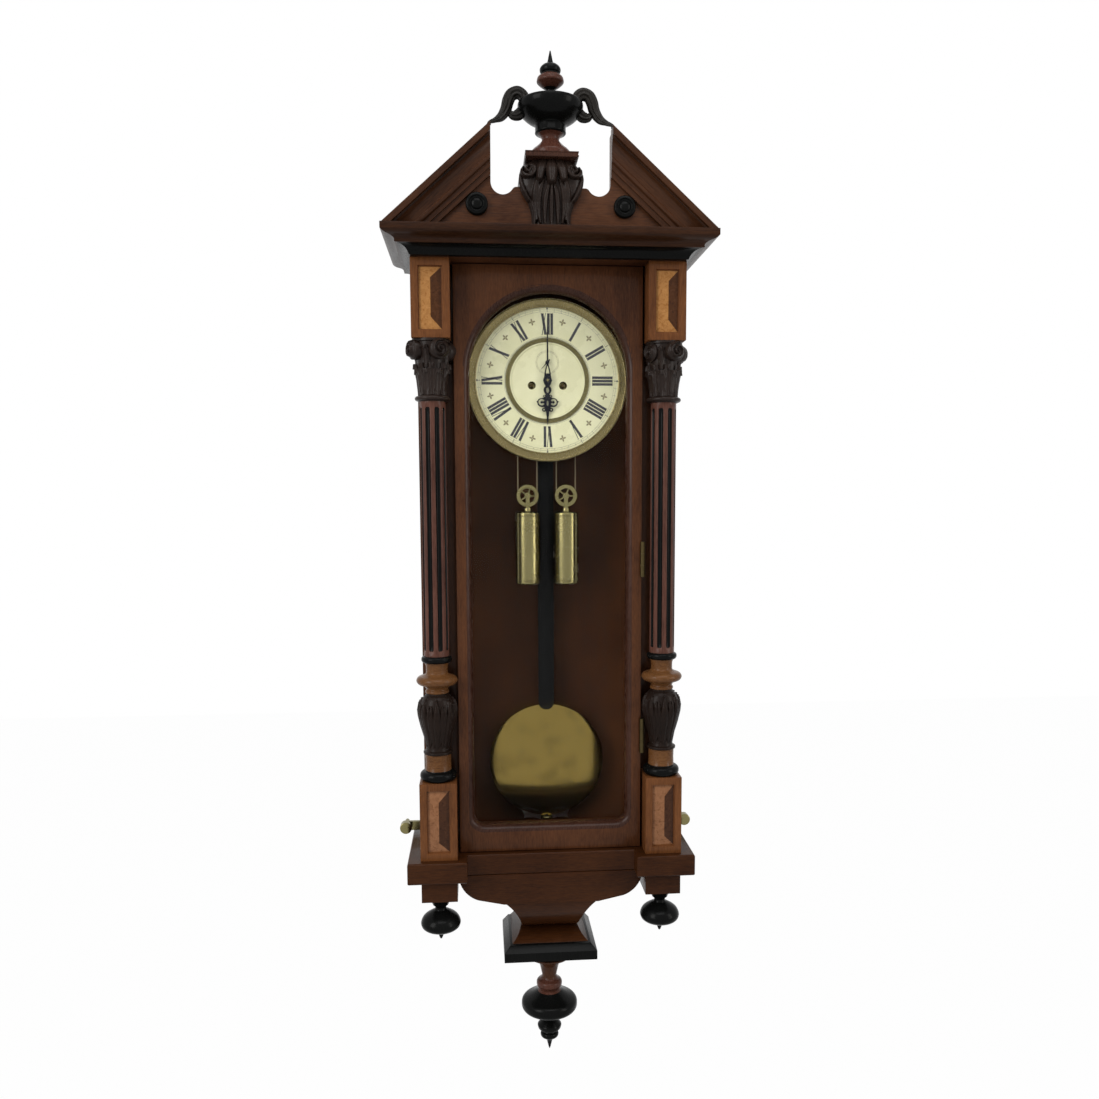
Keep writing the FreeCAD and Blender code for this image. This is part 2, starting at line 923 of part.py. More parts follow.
def capital():
    """Bell with leaves under a square abacus, and two curling volutes at its front corners."""
    item = body("capital_body")
    under = S.capital_high - S.abacus_high
    half = S.abacus_half
    bell = [
        (0, 0),
        (S.ring_radius - S.ring_high / 2, 0),
        *bead(S.ring_radius, 0, S.ring_high),
        (S.bell_radius, S.ring_high),
        (S.bell_radius, under),
        (0, under),
    ]
    revolve(item, sketch(item, "XZ_Plane", bell))
    slab = rect(-half, -half, half, half)
    pad(item, sketch(item, "XY_Plane", slab, lift=under), S.abacus_high)
    foot = S.ring_high + S.abacus_high
    width = S.leaf_radius
    leaf = [
        (0, foot),
        (width, under * S.leaf_belly_share),
        (width * S.leaf_neck_share, under * S.leaf_tip_share),
        (-width * S.leaf_neck_share, under * S.leaf_tip_share),
        (-width, under * S.leaf_belly_share),
    ]
    inside = S.bell_radius / 2
    outline = sketch(item, "XZ_Plane", leaf, lift=inside)
    rib = pad(item, outline, S.leaf_out - inside)
    polar(item, rib, LEAVES_ROUND, "Z_Axis")
    for side in (-1, 1):
        curl = ("circle", S.volute_reach * side, under - S.volute_radius + S.volute_lift, S.volute_radius)
        outline = sketch(item, "XZ_Plane", curl)
        lean = FreeCAD.Rotation(FreeCAD.Vector(0, 1, 0), -45 * side)
        outline.AttachmentOffset = FreeCAD.Placement(FreeCAD.Vector(0, 0, 0), lean)
        pad(item, outline, S.volute_thick, Midplane=True)
    pair("capitals", at(item, S.column_x, COLUMN_DEPTH, CAPITAL_FOOT))


def shaft():
    item = body("shaft_body")
    radius = S.shaft_radius
    half = math.radians(FLUTE_HALF_DEGREES)
    loop = []
    for number in range(FLUTES):
        middle = 2 * math.pi * number / FLUTES
        before = middle - half
        after = middle + half
        ahead = middle + 2 * math.pi / FLUTES - half
        loop.append(arc(radius * math.sin(half) * 1.05,
                        radius * math.cos(after), radius * math.sin(after), -1))
        loop.append(arc(radius, radius * math.cos(ahead), radius * math.sin(ahead), 1))
    pad(item, sketch(item, "XY_Plane", loop), CAPITAL_FOOT - SHAFT_FOOT)
    pair("shafts", at(item, S.column_x, COLUMN_DEPTH, SHAFT_FOOT))


def column_base():
    high = SHAFT_FOOT - LOWER_BLOCK_TOP
    top = high
    a = top - S.collar_high
    b = a - S.neck_high
    c = b - S.bun_high
    d = c - S.bun_neck_high
    e = d - S.vase_high
    f = e - S.fillet_high
    g = f - S.drum_high
    wide = d - S.vase_drop
    points = [
        (0, 0),
        (S.torus_radius - S.torus_high / 2, 0),
        *bead(S.torus_radius, 0, S.torus_high),
        (S.drum_side, g),
        (S.drum_side, f),
        (S.fillet_radius, f),
        (S.fillet_radius, e),
        (S.vase_foot, e),
        arc(S.vase_high, S.vase_radius, wide, -1),
        arc(S.vase_drop, S.bun_neck_radius, d, 1),
        (S.bun_neck_radius, c),
        (S.bun_radius - S.bun_high / 2, c),
        *bead(S.bun_radius, c, S.bun_high),
        (S.neck_radius, b),
        (S.neck_radius, a),
        (S.collar_radius - S.collar_high / 2, a),
        *bead(S.collar_radius, a, S.collar_high),
        (0, top),
    ]
    item = turned("base_body", points)
    pair("column_bases", at(item, S.column_x, COLUMN_DEPTH, LOWER_BLOCK_TOP))


RAKE_RUN = S.rake_foot - S.rake_end
RAKE_LENGTH = root(RAKE_RUN * RAKE_RUN + S.rake_rise * S.rake_rise)
RAKE_SINE = S.rake_rise / RAKE_LENGTH
RAKE_COSINE = RAKE_RUN / RAKE_LENGTH


# Members of the raking moulding from its outer edge inwards: how far across the
# member each corner lies, and how far out of the whole depth
RAKE_SHARES = (
    ("rake_fillet", ((0, 1), (1, 1))),
    ("rake_groove", ((0, 0.75), (1, 0.75))),
    ("rake_cove", ((0, 0.9), (0.12, 0.72), (0.42, 0.57), (1, 0.5))),
    ("rake_bead", ((0.33, 0.58), (0.8, 0.53), (1, 0.36))),
    ("rake_step", ((1, 0.36), (1, 0.24))),
)
RAKE_BACK_SHARE = 0.24


def rakes():
    """Raking mouldings: the upright inner end carried down the slope, cut off on the cornice."""
    item = body("rake_body")
    deep = S.rake_front - S.tymp_front
    edges = [(0, 0)]
    start = dim(0)
    for member, shares in RAKE_SHARES:
        wide = getattr(S, member)
        edges += [(start + wide * along, deep * out) for along, out in shares]
        start = start + wide
    edges += [(S.rake_wide, deep * RAKE_BACK_SHARE), (S.rake_wide, 0)]
    end = []
    for across, out in edges:
        end.append((-dim(out), S.rake_rise - dim(across) / RAKE_COSINE))
    slope = FreeCAD.Vector(-float(RAKE_RUN), 0, -float(S.rake_rise))
    run = pad(item, sketch(item, "YZ_Plane", end, lift=-S.rake_end), RAKE_LENGTH + S.overrun,
              UseCustomVector=True, AlongSketchNormal=False, Direction=slope)
    bind(run, "Direction.x", -RAKE_RUN)
    bind(run, "Direction.z", -S.rake_rise)
    below = rect(-S.rake_foot - S.rake_wide, -deep - S.overrun, -S.rake_end, S.overrun)
    pocket(item, sketch(item, "XY_Plane", below), S.rake_rise)
    pair("rakes", at(item, 0, S.tymp_front, CORNICE_TOP))


def tympanum():
    item = body("tymp_body")
    foot = S.rake_foot - S.tymp_set / RAKE_SINE
    peak = S.rake_rise - S.tymp_set / RAKE_COSINE
    floor = S.scoop_floor
    deep = S.scoop_radius
    right = [
        (foot, 0),
        (S.rake_end, peak),
        (S.rake_end, floor + deep),
        arc(deep * 1.02, S.rake_end - deep, floor, -1),
        arc(deep * 1.02, S.scoop_in + S.scoop_lip, floor + deep / 2, -1),
        arc(S.scoop_lip * 1.2, S.scoop_in, S.scoop_shoulder, 1),
    ]
    pad(item, sketch(item, "XZ_Plane", both(right)), S.tymp_front - S.tymp_back)
    node("tympanum", at(item, 0, S.tymp_back, CORNICE_TOP))


def roundels():
    high = S.roundel_high
    item = faced("roundel_body", [
        (0, 0),
        (S.roundel_radius, 0),
        (S.roundel_radius, S.roundel_rim),
        arc(S.roundel_rim, S.roundel_radius - S.roundel_rim, high * 0.8, 1),
        arc(S.roundel_radius * 2, 0, high, 1),
    ])
    pair("roundels", at(item, -S.roundel_x, S.tymp_front, CORNICE_TOP + S.roundel_rise))


def corbel():
    """Carved bracket: a scrolled outline, hollowed in side view and notched over the tympanum."""
    item = body("corbel_body")
    top = S.corbel_high - S.corbel_abacus
    belly = S.corbel_belly
    front = [
        (S.corbel_foot, 0),
        (S.corbel_foot, S.corbel_abacus),
        arc(S.corbel_half, S.corbel_waist, belly / 2, -1),
        arc(S.corbel_half, S.corbel_half, belly, 1),
        arc(S.corbel_half * 0.6, S.corbel_abacus_half - S.corbel_abacus, top, 1),
    ]
    deep = S.corbel_front - S.corbel_back
    pad(item, sketch(item, "XZ_Plane", both(front)), deep)
    slab = rect(-S.corbel_abacus_half, -deep, S.corbel_abacus_half, 0)
    pad(item, sketch(item, "XY_Plane", slab, lift=top), S.corbel_abacus)
    past = S.corbel_half * 2
    notch = rect(-(S.tymp_front - S.corbel_back), -past, 0, S.scoop_shoulder + S.scoop_lip)
    pocket(item, sketch(item, "YZ_Plane", notch), past, Midplane=True)
    swell = S.corbel_leaf
    hollow = [
        (-deep - swell, S.corbel_abacus),
        (-deep - swell, top),
        (-deep + swell, top),
        arc(S.corbel_half * 1.5, -deep, belly, 1),
        arc(S.corbel_high, -deep + swell * 2, belly * 0.35, 1),
        arc(S.corbel_half, -deep, S.corbel_abacus, -1),
    ]
    pocket(item, sketch(item, "YZ_Plane", hollow), past, Midplane=True)
    node("corbel", at(item, 0, S.corbel_back, CORNICE_TOP))


URN_SEAT = CORNICE_TOP + S.corbel_high


def bowl_side():
    """The urn's bowl from its foot to its top edge, as the scroll handles meet it too."""
    foot_top = S.urn_foot_rise + S.urn_foot_high
    return [
        (S.urn_foot, foot_top),
        arc(S.urn_bowl * 0.75, S.urn_bowl, S.urn_bowl_rise, 1),
        arc(S.urn_bowl * 1.1, S.urn_neck, S.urn_top_rise, 1),
    ]


def urn():
    points = [
        (0, 0),
        (S.urn_skirt, 0),
        (S.urn_skirt, S.urn_lip),
        arc(S.urn_skirt * 0.8, S.urn_waist, S.urn_waist_rise, -1),
        arc(S.urn_skirt * 0.7, S.urn_foot, S.urn_foot_rise, -1),
    ]
    points += bowl_side()
    points += [
        (S.urn_neck, S.urn_neck_rise),
        arc(S.urn_bead * 0.8, S.urn_bead, S.urn_bead_rise, 1),
        arc(S.urn_bead * 0.6, S.urn_ring, S.urn_ring_rise, 1),
        (S.urn_dome, S.urn_dome_rise),
        arc(S.urn_dome * 0.7, S.urn_spike, S.urn_spike_rise, 1),
        arc(S.urn_tip_rise, S.urn_tip, S.urn_tip_rise, -1),
        (0, S.urn_tip_rise),
    ]
    node("urn", at(turned("urn_body", points), 0, S.urn_depth, URN_SEAT))


def scrolls():
    """S-shaped handles from the urn's shoulder to the inner ends of the rakes."""
    item = body("scroll_body")
    x = S.urn_bowl
    z = S.urn_bowl_rise
    outline = [
        (-x * 0.5, z * 1.28),
        arc(x * 0.36, -x * 1.02, z * 1.39, -1),
        arc(x * 0.75, -x * 1.55, z * 0.86, -1),
        arc(x * 0.7, -S.scroll_tail_x, SCROLL_FOOT, 1),
        (S.scroll_seat - S.rake_end, SCROLL_FOOT),
        arc(x * 0.75, -x * 1.33, z * 0.72, -1),
        arc(x * 0.7, -x * 0.98, z * 0.63, 1),
        arc(x * 0.3, -x * 0.62, z * 0.8, 1),
    ]
    eye = [
        (-x * 1.0, z * 1.14),
        arc(x * 0.5, -x * 1.2, z * 0.96, -1),
        arc(x * 0.3, -x * 1.03, z * 0.82, -1),
        (-x * 0.7, z * 1.0),
    ]
    pad(item, sketch(item, "XZ_Plane", outline, eye), S.scroll_thick, Midplane=True)
    seat = S.scroll_seat
    near = [(0, S.urn_foot_rise + S.urn_foot_high)]
    near += [(p[0] + seat,) + tuple(p[1:]) for p in bowl_side()]
    near += [(S.urn_neck + seat, z * 2), (0, z * 2)]
    revolve(item, sketch(item, "XZ_Plane", near), "Groove")
    pair("scrolls", at(item, 0, S.urn_depth, URN_SEAT))


SCROLL_FOOT = CORNICE_TOP + S.rake_rise - URN_SEAT + S.scroll_seat


def ledge():
    item = body("ledge_body")
    right = [
        (S.ledge_half, 0),
        (S.ledge_half, -S.ledge_front),
        (S.ear_in, -S.ledge_front),
        (S.ear_in, -S.ledge_mid),
    ]
    plan = right + [(-p[0], p[1]) for p in reversed(right)]
    slab = pad(item, sketch(item, "XY_Plane", plan), S.ledge_thick)
    doc.recompute()
    rim = []
    for number, edge in enumerate(slab.Shape.Edges, 1):
        box = edge.BoundBox
        level = box.ZLength < 0.001
        away = box.YMin < -0.001
        if level and away:
            rim.append("Edge%d" % number)
    soft = item.newObject("PartDesign::Fillet", "ledge_round")
    soft.Base = (slab, rim)
    bind(soft, "Radius", S.ledge_round)
    item.Tip = soft
    node("ledge", at(item, 0, 0, LEDGE_FOOT))
    under = body("under_body")
    half = S.under_wide / 2
    slab = rect(-half, -BLOCK_MID - half, half, -BLOCK_MID + half)
    pad(under, sketch(under, "XY_Plane", slab), S.under_high)
    pair("under_blocks", at(under, S.column_x, 0, LEDGE_FOOT - S.under_high))


def apron():
    item = body("apron_body")
    low = -S.apron_high
    right = [
        (S.apron_flat, low),
        (S.apron_shoulder, low * 0.83),
        arc(S.apron_high * 0.9, S.apron_half, low * 0.15, 1),
        (S.apron_half, 0),
    ]
    pad(item, sketch(item, "XZ_Plane", both(right)), S.apron_thick)
    node("apron", at(item, 0, S.ledge_mid - S.apron_thick, LEDGE_FOOT))


def pedestal():
    """Block under the case, hollowed on its front and both sides down to the plinth."""
    item = body("pedestal_body")
    behind = S.ledge_mid - S.apron_thick
    start = -S.apron_high
    foot = -S.pendant_high
    waist = -S.pendant_waist_drop
    right = [
        (S.pendant_foot, foot),
        arc(S.pendant_foot, S.pendant_waist, waist, -1),
        arc(S.pendant_half, S.pendant_half, start, -1),
        (S.pendant_half, 0),
    ]
    pad(item, sketch(item, "XZ_Plane", both(right)), S.pendant_front)
    past = S.pendant_half * 2
    upper = rect(-S.pendant_front * 2, start, -behind, S.apron_high)
    pocket(item, sketch(item, "YZ_Plane", upper), past, Midplane=True)
    hollow = [
        arc(S.pendant_half, -S.pendant_foot_deep, foot, 1),
        (-S.pendant_front * 2, foot),
        (-S.pendant_front * 2, start),
        (-S.pendant_front, start),
        arc(S.pendant_half, -S.pendant_mid_deep, waist, 1),
    ]
    pocket(item, sketch(item, "YZ_Plane", hollow), past, Midplane=True)
    node("pedestal", at(item, 0, 0, LEDGE_FOOT))


PLINTH_TOP = LEDGE_FOOT - S.pendant_high
TAIL_TOP = PLINTH_TOP - S.plinth_high - S.plinth_sub_high


def plinth():
    item = body("plinth_body")
    outline = rect(-S.plinth_half, -S.plinth_deep, S.plinth_half, 0)
    slab = pad(item, sketch(item, "XY_Plane", outline), S.plinth_high)
    doc.recompute()
    rim = []
    for number, edge in enumerate(slab.Shape.Edges, 1):
        box = edge.BoundBox
        if box.ZMin > S.plinth_high.value - 0.01 and box.YMin < -0.01:
            rim.append("Edge%d" % number)
    bevel = item.newObject("PartDesign::Chamfer", "plinth_bevel")
    bevel.Base = (slab, rim)
    bind(bevel, "Size", S.plinth_bevel)
    item.Tip = bevel
    low = rect(-S.plinth_sub_half, -S.plinth_sub_deep, S.plinth_sub_half, 0)
    pad(item, sketch(item, "XY_Plane", low), S.plinth_sub_high, Reversed=True)
    node("plinth_moulding", at(item, 0, 0, PLINTH_TOP - S.plinth_high))


def drops():
    tip = S.drop_tip_drop
    points = [
        (0, 0),
        (0, -tip),
        arc(S.drop_knob, S.drop_knob, -S.drop_knob_drop, 1),
        arc(S.drop_knob, S.drop_knob * 0.7, -S.drop_ball_drop, 1),
        arc(S.drop_bowl, S.drop_bowl, -S.drop_bowl_drop, 1),
        arc(S.drop_bowl, S.drop_stem, -S.drop_stem_high * 1.5, 1),
        (S.drop_stem, -S.drop_stem_high),
        arc(S.drop_stem_high * 1.5, S.drop_stem * 1.6, 0, -1),
    ]
    item = turned("drop_body", points)
    pair("drop_finials", at(item, S.column_x, BLOCK_MID, LEDGE_FOOT - S.under_high))


def bottom_finial():
    points = [
        (0, 0),
        (0, -S.tail_tip_drop),
        (S.tail_tip, -S.tail_tip_drop),
        arc(S.tail_knob * 2, S.tail_small * 0.7, -S.tail_small_drop - S.tail_small * 0.5, -1),
        arc(S.tail_small * 0.8, S.tail_small, -S.tail_small_drop, 1),
        arc(S.tail_small * 0.8, S.tail_small * 0.9, -S.tail_knob_drop - S.tail_small * 0.5, 1),
        arc(S.tail_knob * 0.7, S.tail_knob, -S.tail_knob_drop, 1),
        arc(S.tail_knob, S.tail_under, -S.tail_under_drop, 1),
        arc(S.tail_ball, S.tail_ball, -S.tail_ball_drop, 1),
        arc(S.tail_ball, S.tail_join, -S.tail_join_drop, 1),
        arc(S.tail_bead * 0.6, S.tail_bead, -S.tail_bead_drop, 1),
        arc(S.tail_bead * 0.8, S.tail_waist, -S.tail_waist_drop, 1),
        arc(S.tail_top * 1.4, S.tail_top, 0, -1),
    ]
    item = turned("tail_body", points)
    node("bottom_finial", at(item, 0, S.tail_depth, TAIL_TOP))


CAPITAL_FOOT = BLOCK_TOP - S.upper_block - S.capital_high
LOWER_BLOCK_TOP = LEDGE_TOP + S.lower_block
SHAFT_FOOT = (LOWER_BLOCK_TOP + S.torus_high + S.drum_high + S.fillet_high + S.vase_high
              + S.bun_neck_high + S.bun_high + S.neck_high + S.collar_high)


def door():
    item = body("door_body")
    low = S.door_gap
    high = S.case_height - S.door_gap
    thick = S.door_front - S.frame_front - S.door_back_gap
    outline = rect(-S.door_half, low, S.door_half, high)
    centre = S.case_height - S.block_rise + S.arch_rise
    hole = arched(S.sight_half, S.sight_bottom, centre, S.sight_corner)
    slab = pad(item, sketch(item, "XZ_Plane", outline, hole), thick)
    doc.recompute()
    rim = []
    for number, edge in enumerate(slab.Shape.Edges, 1):
        box = edge.BoundBox
        front = box.YMax < -thick.value + 0.01
        inside = max(abs(box.XMin), abs(box.XMax)) < S.door_half.value - 1
        inner_z = box.ZMin > S.sight_bottom.value - 1 and box.ZMax < high.value - 1
        if front and inside and inner_z:
            rim.append("Edge%d" % number)
    bead = item.newObject("PartDesign::Fillet", "door_bead")
    bead.Base = (slab, rim)
    bind(bead, "Radius", S.bead_radius)
    item.Tip = bead
    wide = S.rebate_wide
    seat = arched(S.sight_half + wide, S.sight_bottom - wide, centre, S.sight_corner + wide)
    pocket(item, sketch(item, "XZ_Plane", seat), S.rebate_deep, Reversed=True)
    for drop in (S.hinge_upper, S.hinge_lower):
        foot = S.case_height - S.block_rise - drop
        recess = rect(S.door_half - S.hinge_leaf, foot, S.door_half * 2, foot + S.hinge_third * 3)
        pocket(item, sketch(item, "XZ_Plane", recess), thick * 2, Reversed=True)
    node("door_frame", at(item, 0, S.frame_front + S.door_back_gap, LEDGE_TOP))
    glass = body("glass_body")
    pad(glass, sketch(glass, "XZ_Plane", seat), S.glass_thick)
    back = S.frame_front + S.door_back_gap + S.rebate_deep - S.glass_thick
    node("door_glass", at(glass, 0, back, LEDGE_TOP))


def blocks():
    corner_block("upper_blocks", S.upper_block, BLOCK_TOP - S.upper_block)
    corner_block("lower_blocks", S.lower_block, LEDGE_TOP)


def drums():
    drum("going_drum", 1, False)
    drum("strike_drum", -1, True)


def couple(name, pieces):
    """Two or more separate pieces that make one sub-part."""
    item = doc.addObject("Part::Compound", name + "_set")
    item.Links = pieces
    return node(name, item)


def hinge_post(name, drop):
    """Fixed half of a hinge: a leaf behind two knuckles, with the pin between them."""
    item = body(name)
    third = S.hinge_third
    x = S.hinge_x
    y = -S.hinge_depth
    leaf = [
        (x - S.hinge_leaf / 2, y),
        (x + S.hinge_leaf / 2, y),
        (x + S.hinge_leaf / 2, -S.frame_front),
        (x - S.hinge_leaf / 2, -S.frame_front),
    ]
    for start in (0, third * 2):
        knuckle = ("circle", x, y, S.hinge_radius)
        if start == 0:
            pad(item, sketch(item, "XY_Plane", knuckle), third)
            pad(item, sketch(item, "XY_Plane", ("circle", x, y, S.hinge_pin)), third * 3)
            pad(item, sketch(item, "XY_Plane", leaf), third)
            short = [
                (x - S.hinge_leaf / 2, y + S.hinge_radius + S.slack * 2),
                (x + S.hinge_leaf / 2, y + S.hinge_radius + S.slack * 2),
                (x + S.hinge_leaf / 2, -S.frame_front),
                (x - S.hinge_leaf / 2, -S.frame_front),
            ]
            pad(item, sketch(item, "XY_Plane", short), third * 3)
        else:
            pad(item, sketch(item, "XY_Plane", knuckle, lift=start), third)
            pad(item, sketch(item, "XY_Plane", leaf, lift=start), third)
    return at(item, 0, 0, DIAL_Z - drop)


def hinge_wing(name, drop):
    """Moving half of a hinge: the middle knuckle, on a leaf let into the door's edge."""
    item = body(name)
    third = S.hinge_third
    x = S.hinge_x
    y = -S.hinge_depth
    back = -(S.frame_front + S.door_back_gap)
    edge = S.door_half
    low = third + S.hinge_gap
    high = third - S.hinge_gap * 2
    ring = ("circle", x, y, S.hinge_radius)
    bore = ("circle", x, y, S.hinge_pin + S.play)
    pad(item, sketch(item, "XY_Plane", ring, bore, lift=low), high)
    leaf = rect(edge - S.hinge_leaf, y, edge, back)
    pad(item, sketch(item, "XY_Plane", leaf, lift=low), high)
    front = -S.door_front
    wide = rect(edge - S.hinge_leaf, front, edge, back)
    pad(item, sketch(item, "XY_Plane", wide), third * 3)
    eye = sketch(item, "XY_Plane", ("circle", x, y, S.hinge_pin + S.play))
    pocket(item, eye, third * 3, Reversed=True)
    return at(item, 0, 0, DIAL_Z - drop)


def hinges():
    couple("case_hinges", [
        hinge_post("upper_post", S.hinge_upper),
        hinge_post("lower_post", S.hinge_lower),
    ])
    couple("door_hinges", [
        hinge_wing("upper_wing", S.hinge_upper),
        hinge_wing("lower_wing", S.hinge_lower),
    ])


def steadies():
    """Lugs low on the case sides, each with a screw that bears on the wall."""
    item = body("steady_body")
    half = S.steady_high / 2
    reach = S.side_out + S.steady_out
    middle = reach - S.steady_edge
    rise = LEDGE_TOP + S.steady_rise
    lug = [
        (S.side_out, -half),
        (reach - half, -half),
        arc(half, reach, 0, 1),
        arc(half, reach - half, half, 1),
        (S.side_out, half),
    ]
    hole = ("circle", middle, 0, S.steady_shank + S.play)
    pad(item, sketch(item, "XZ_Plane", lug, hole), S.steady_thick)
    pair("steady_brackets", at(item, 0, S.steady_back, rise))
    for name, side in (("steady_screw_left", -1), ("steady_screw_right", 1)):
        head = S.steady_head_back
        points = [
            (0, S.steady_tip),
            (S.steady_shank / 2, S.steady_tip),
            (S.steady_shank, S.steady_tip * 5),
            (S.steady_shank, head),
            (S.steady_head - S.slack, head),
            (S.steady_head, head + S.slack),
            (S.steady_head, S.steady_end - S.slack * 4),
            arc(S.steady_head * 2, 0, S.steady_end, 1),
        ]
        screw = faced(name + "_body", points)
        node(name, at(screw, middle * side, 0, rise))


def round_bar(owner, x, z, radius, start, end, bore=None):
    """A round length along the depth of the case, hollow where a bore is given."""
    rings = [("circle", x, z, radius)]
    if bore is not None:
        rings.append(("circle", x, z, bore))
    return pad(owner, sketch(owner, "XZ_Plane", *rings, lift=start), end - dim(start))


def slab(owner, outline, start, end):
    """A flat piece that faces forward, between two depths from the wall."""
    return pad(owner, sketch(owner, "XZ_Plane", outline, lift=start), end - dim(start))


def bracket():
    """Casting on the backboard that carries the movement and hangs the pendulum."""
    item = body("bracket_body")
    back = S.back_thick
    front = back + S.bracket_thick
    half = S.bracket_half
    rise = S.bracket_rise
    outline = rect(-half, -rise, half, rise)
    window = rect(-S.bracket_open, S.bracket_rail - rise, S.bracket_open, rise - S.bracket_rail)
    pad(item, sketch(item, "XZ_Plane", outline, window, lift=back), S.bracket_thick)
    low = -S.plate_low - S.bar_high
    for side in (-1, 1):
        arm = rect(S.arm_half * side, low, S.arm_out * side, -S.plate_low)
        slab(item, arm, back, S.bar_front)
    bar = rect(-S.arm_out, low, S.arm_out, -S.plate_low)
    slab(item, bar, S.bar_depth, S.bar_front)
    slab(item, rect(-S.cock_half, S.cock_low, S.cock_half, S.cock_high), back, S.cock_front)
    slit = rect(-S.cock_slit, S.cock_low - S.cock_slit, S.cock_slit, S.cock_high + S.cock_slit)
    cut = sketch(item, "XZ_Plane", slit, lift=S.slit_back)
    pocket(item, cut, S.cock_front, Reversed=True)
    line_x = S.weight_x + S.gut_ring
    holes = [("circle", line_x * side, -S.weight_depth, S.line_hole) for side in (-1, 1)]
    cut = sketch(item, "XY_Plane", *holes, lift=low)
    pocket(item, cut, S.bar_high, Reversed=True)
    node("movement_bracket", at(item, 0, 0, DIAL_Z))


PLATE_FRONT = S.plate_back + S.plate_thick + S.plate_gap
PLATE_FACE = PLATE_FRONT + S.plate_thick


def movement_frame():
    """Two plates held apart by four pillars, pierced for the arbors."""
    item = body("frame_plates")
    outline = rect(-S.plate_half, -S.plate_low, S.plate_half, S.plate_high)
    common = [
        ("circle", 0, 0, S.centre_radius + S.play),
        ("circle", S.third_x, S.third_rise, S.thin_radius + S.play),
        ("circle", 0, S.seconds_rise, S.seconds_radius + S.play),
        ("circle", 0, S.anchor_rise, S.thin_radius + S.play),
        ("circle", -S.hammer_x, S.hammer_rise, S.thin_radius + S.play),
    ]
    rear = [("circle", S.wind_x * side, -S.wind_drop, S.wind_radius + S.play) for side in (-1, 1)]
    fore = [("circle", S.wind_x * side, -S.wind_drop, S.boss_radius + S.play) for side in (-1, 1)]
    back = sketch(item, "XZ_Plane", outline, *common, *rear, lift=S.plate_back)
    pad(item, back, S.plate_thick)
    start = S.plate_back + S.plate_thick
    spots = [(S.pillar_top_x, S.pillar_top_z), (-S.pillar_top_x, S.pillar_top_z),
             (S.pillar_low_x, -S.pillar_low_z), (-S.pillar_low_x, -S.pillar_low_z)]
    posts = [("circle", x, z, S.pillar_radius) for x, z in spots]
    pad(item, sketch(item, "XZ_Plane", *posts, lift=start), S.plate_gap)
    face = sketch(item, "XZ_Plane", outline, *common, *fore, lift=PLATE_FRONT)
    pad(item, face, S.plate_thick)
    stud = S.hour_back + S.wheel_thick + S.slack
    round_bar(item, 0, -S.stud_drop, S.thin_radius, PLATE_FRONT, stud)
    node("movement_frame", at(item, 0, 0, DIAL_Z))


ADDENDUM_SHARE = 0.9
DEDENDUM_SHARE = 1.15
TOOTH_FOOT_SHARE = 0.8
TOOTH_TIP_SHARE = 0.36
FOOT_SINK_SHARE = 1.4


def turn(radius, across, degrees):
    """A point at a radius and an offset to its right, turned clockwise from straight up."""
    cosine = math.cos(math.radians(degrees))
    sine = math.sin(math.radians(degrees))
    radius = dim(radius)
    across = dim(across)
    return (across * cosine + radius * sine, radius * cosine - across * sine)


def bearing(from_x, from_z, to_x, to_z):
    """Direction between two arbors, in degrees clockwise from straight up."""
    return math.degrees(math.atan2(float(to_x) - float(from_x), float(to_z) - float(from_z)))


def toothed(owner, count, module, start, thick, phase, bore=None):
    """A toothed disc, with one of its teeth centred on the direction given by phase."""
    pitch = module * count / 2
    low = pitch - module * DEDENDUM_SHARE
    high = pitch + module * ADDENDUM_SHARE
    foot = pitch - module * FOOT_SINK_SHARE
    wide = module * TOOTH_FOOT_SHARE
    tip = module * TOOTH_TIP_SHARE
    rings = [("circle", 0, 0, low)]
    if bore is not None:
        rings.append(("circle", 0, 0, bore))
    pad(owner, sketch(owner, "XZ_Plane", *rings, lift=start), thick)
    tooth = [
        turn(foot, -wide, phase),
        turn(foot, wide, phase),
        turn(high, tip, phase),
        turn(high, -tip, phase),
    ]
    last = pad(owner, sketch(owner, "XZ_Plane", tooth, lift=start), thick)
    return polar(owner, last, count, "Y_Axis")


def crossings(owner, inner, outer, spokes, start, thick):
    """Windows between the spokes of a wheel."""
    half = math.degrees(math.pi / spokes)
    a = half * 0.68
    b = half * 0.86
    window = [
        turn(inner, 0, -a),
        arc(inner, *turn(inner, 0, a), -1),
        turn(outer, 0, b),
        arc(outer, *turn(outer, 0, -b), 1),
    ]
    cut = pocket(owner, sketch(owner, "XZ_Plane", window, lift=start), thick, Reversed=True)
    return polar(owner, cut, spokes, "Y_Axis")


GREAT_TEETH = 84
CENTRE_LEAVES = 12
CENTRE_TEETH = 75
LEAVES = 10
THIRD_TEETH = 80
ESCAPE_TEETH = 30
CANNON_LEAVES = 12
MINUTE_TEETH = 36
HOUR_TEETH = 40
SPOKES = 5


def reach(x, z):
    return root(x * x + z * z)


GREAT_MODULE = reach(S.wind_x, S.wind_drop) * 2 / (GREAT_TEETH + CENTRE_LEAVES)
CENTRE_MODULE = reach(S.third_x, S.third_rise) * 2 / (CENTRE_TEETH + LEAVES)
THIRD_MODULE = reach(S.third_x, S.seconds_rise - S.third_rise) * 2 / (THIRD_TEETH + LEAVES)
MINUTE_MODULE = S.stud_drop * 2 / (MINUTE_TEETH + CANNON_LEAVES)
HOUR_MODULE = S.stud_drop * 2 / (HOUR_TEETH + LEAVES)
REAR_END = S.plate_back - S.slack
FORE_END = PLATE_FACE + S.slack


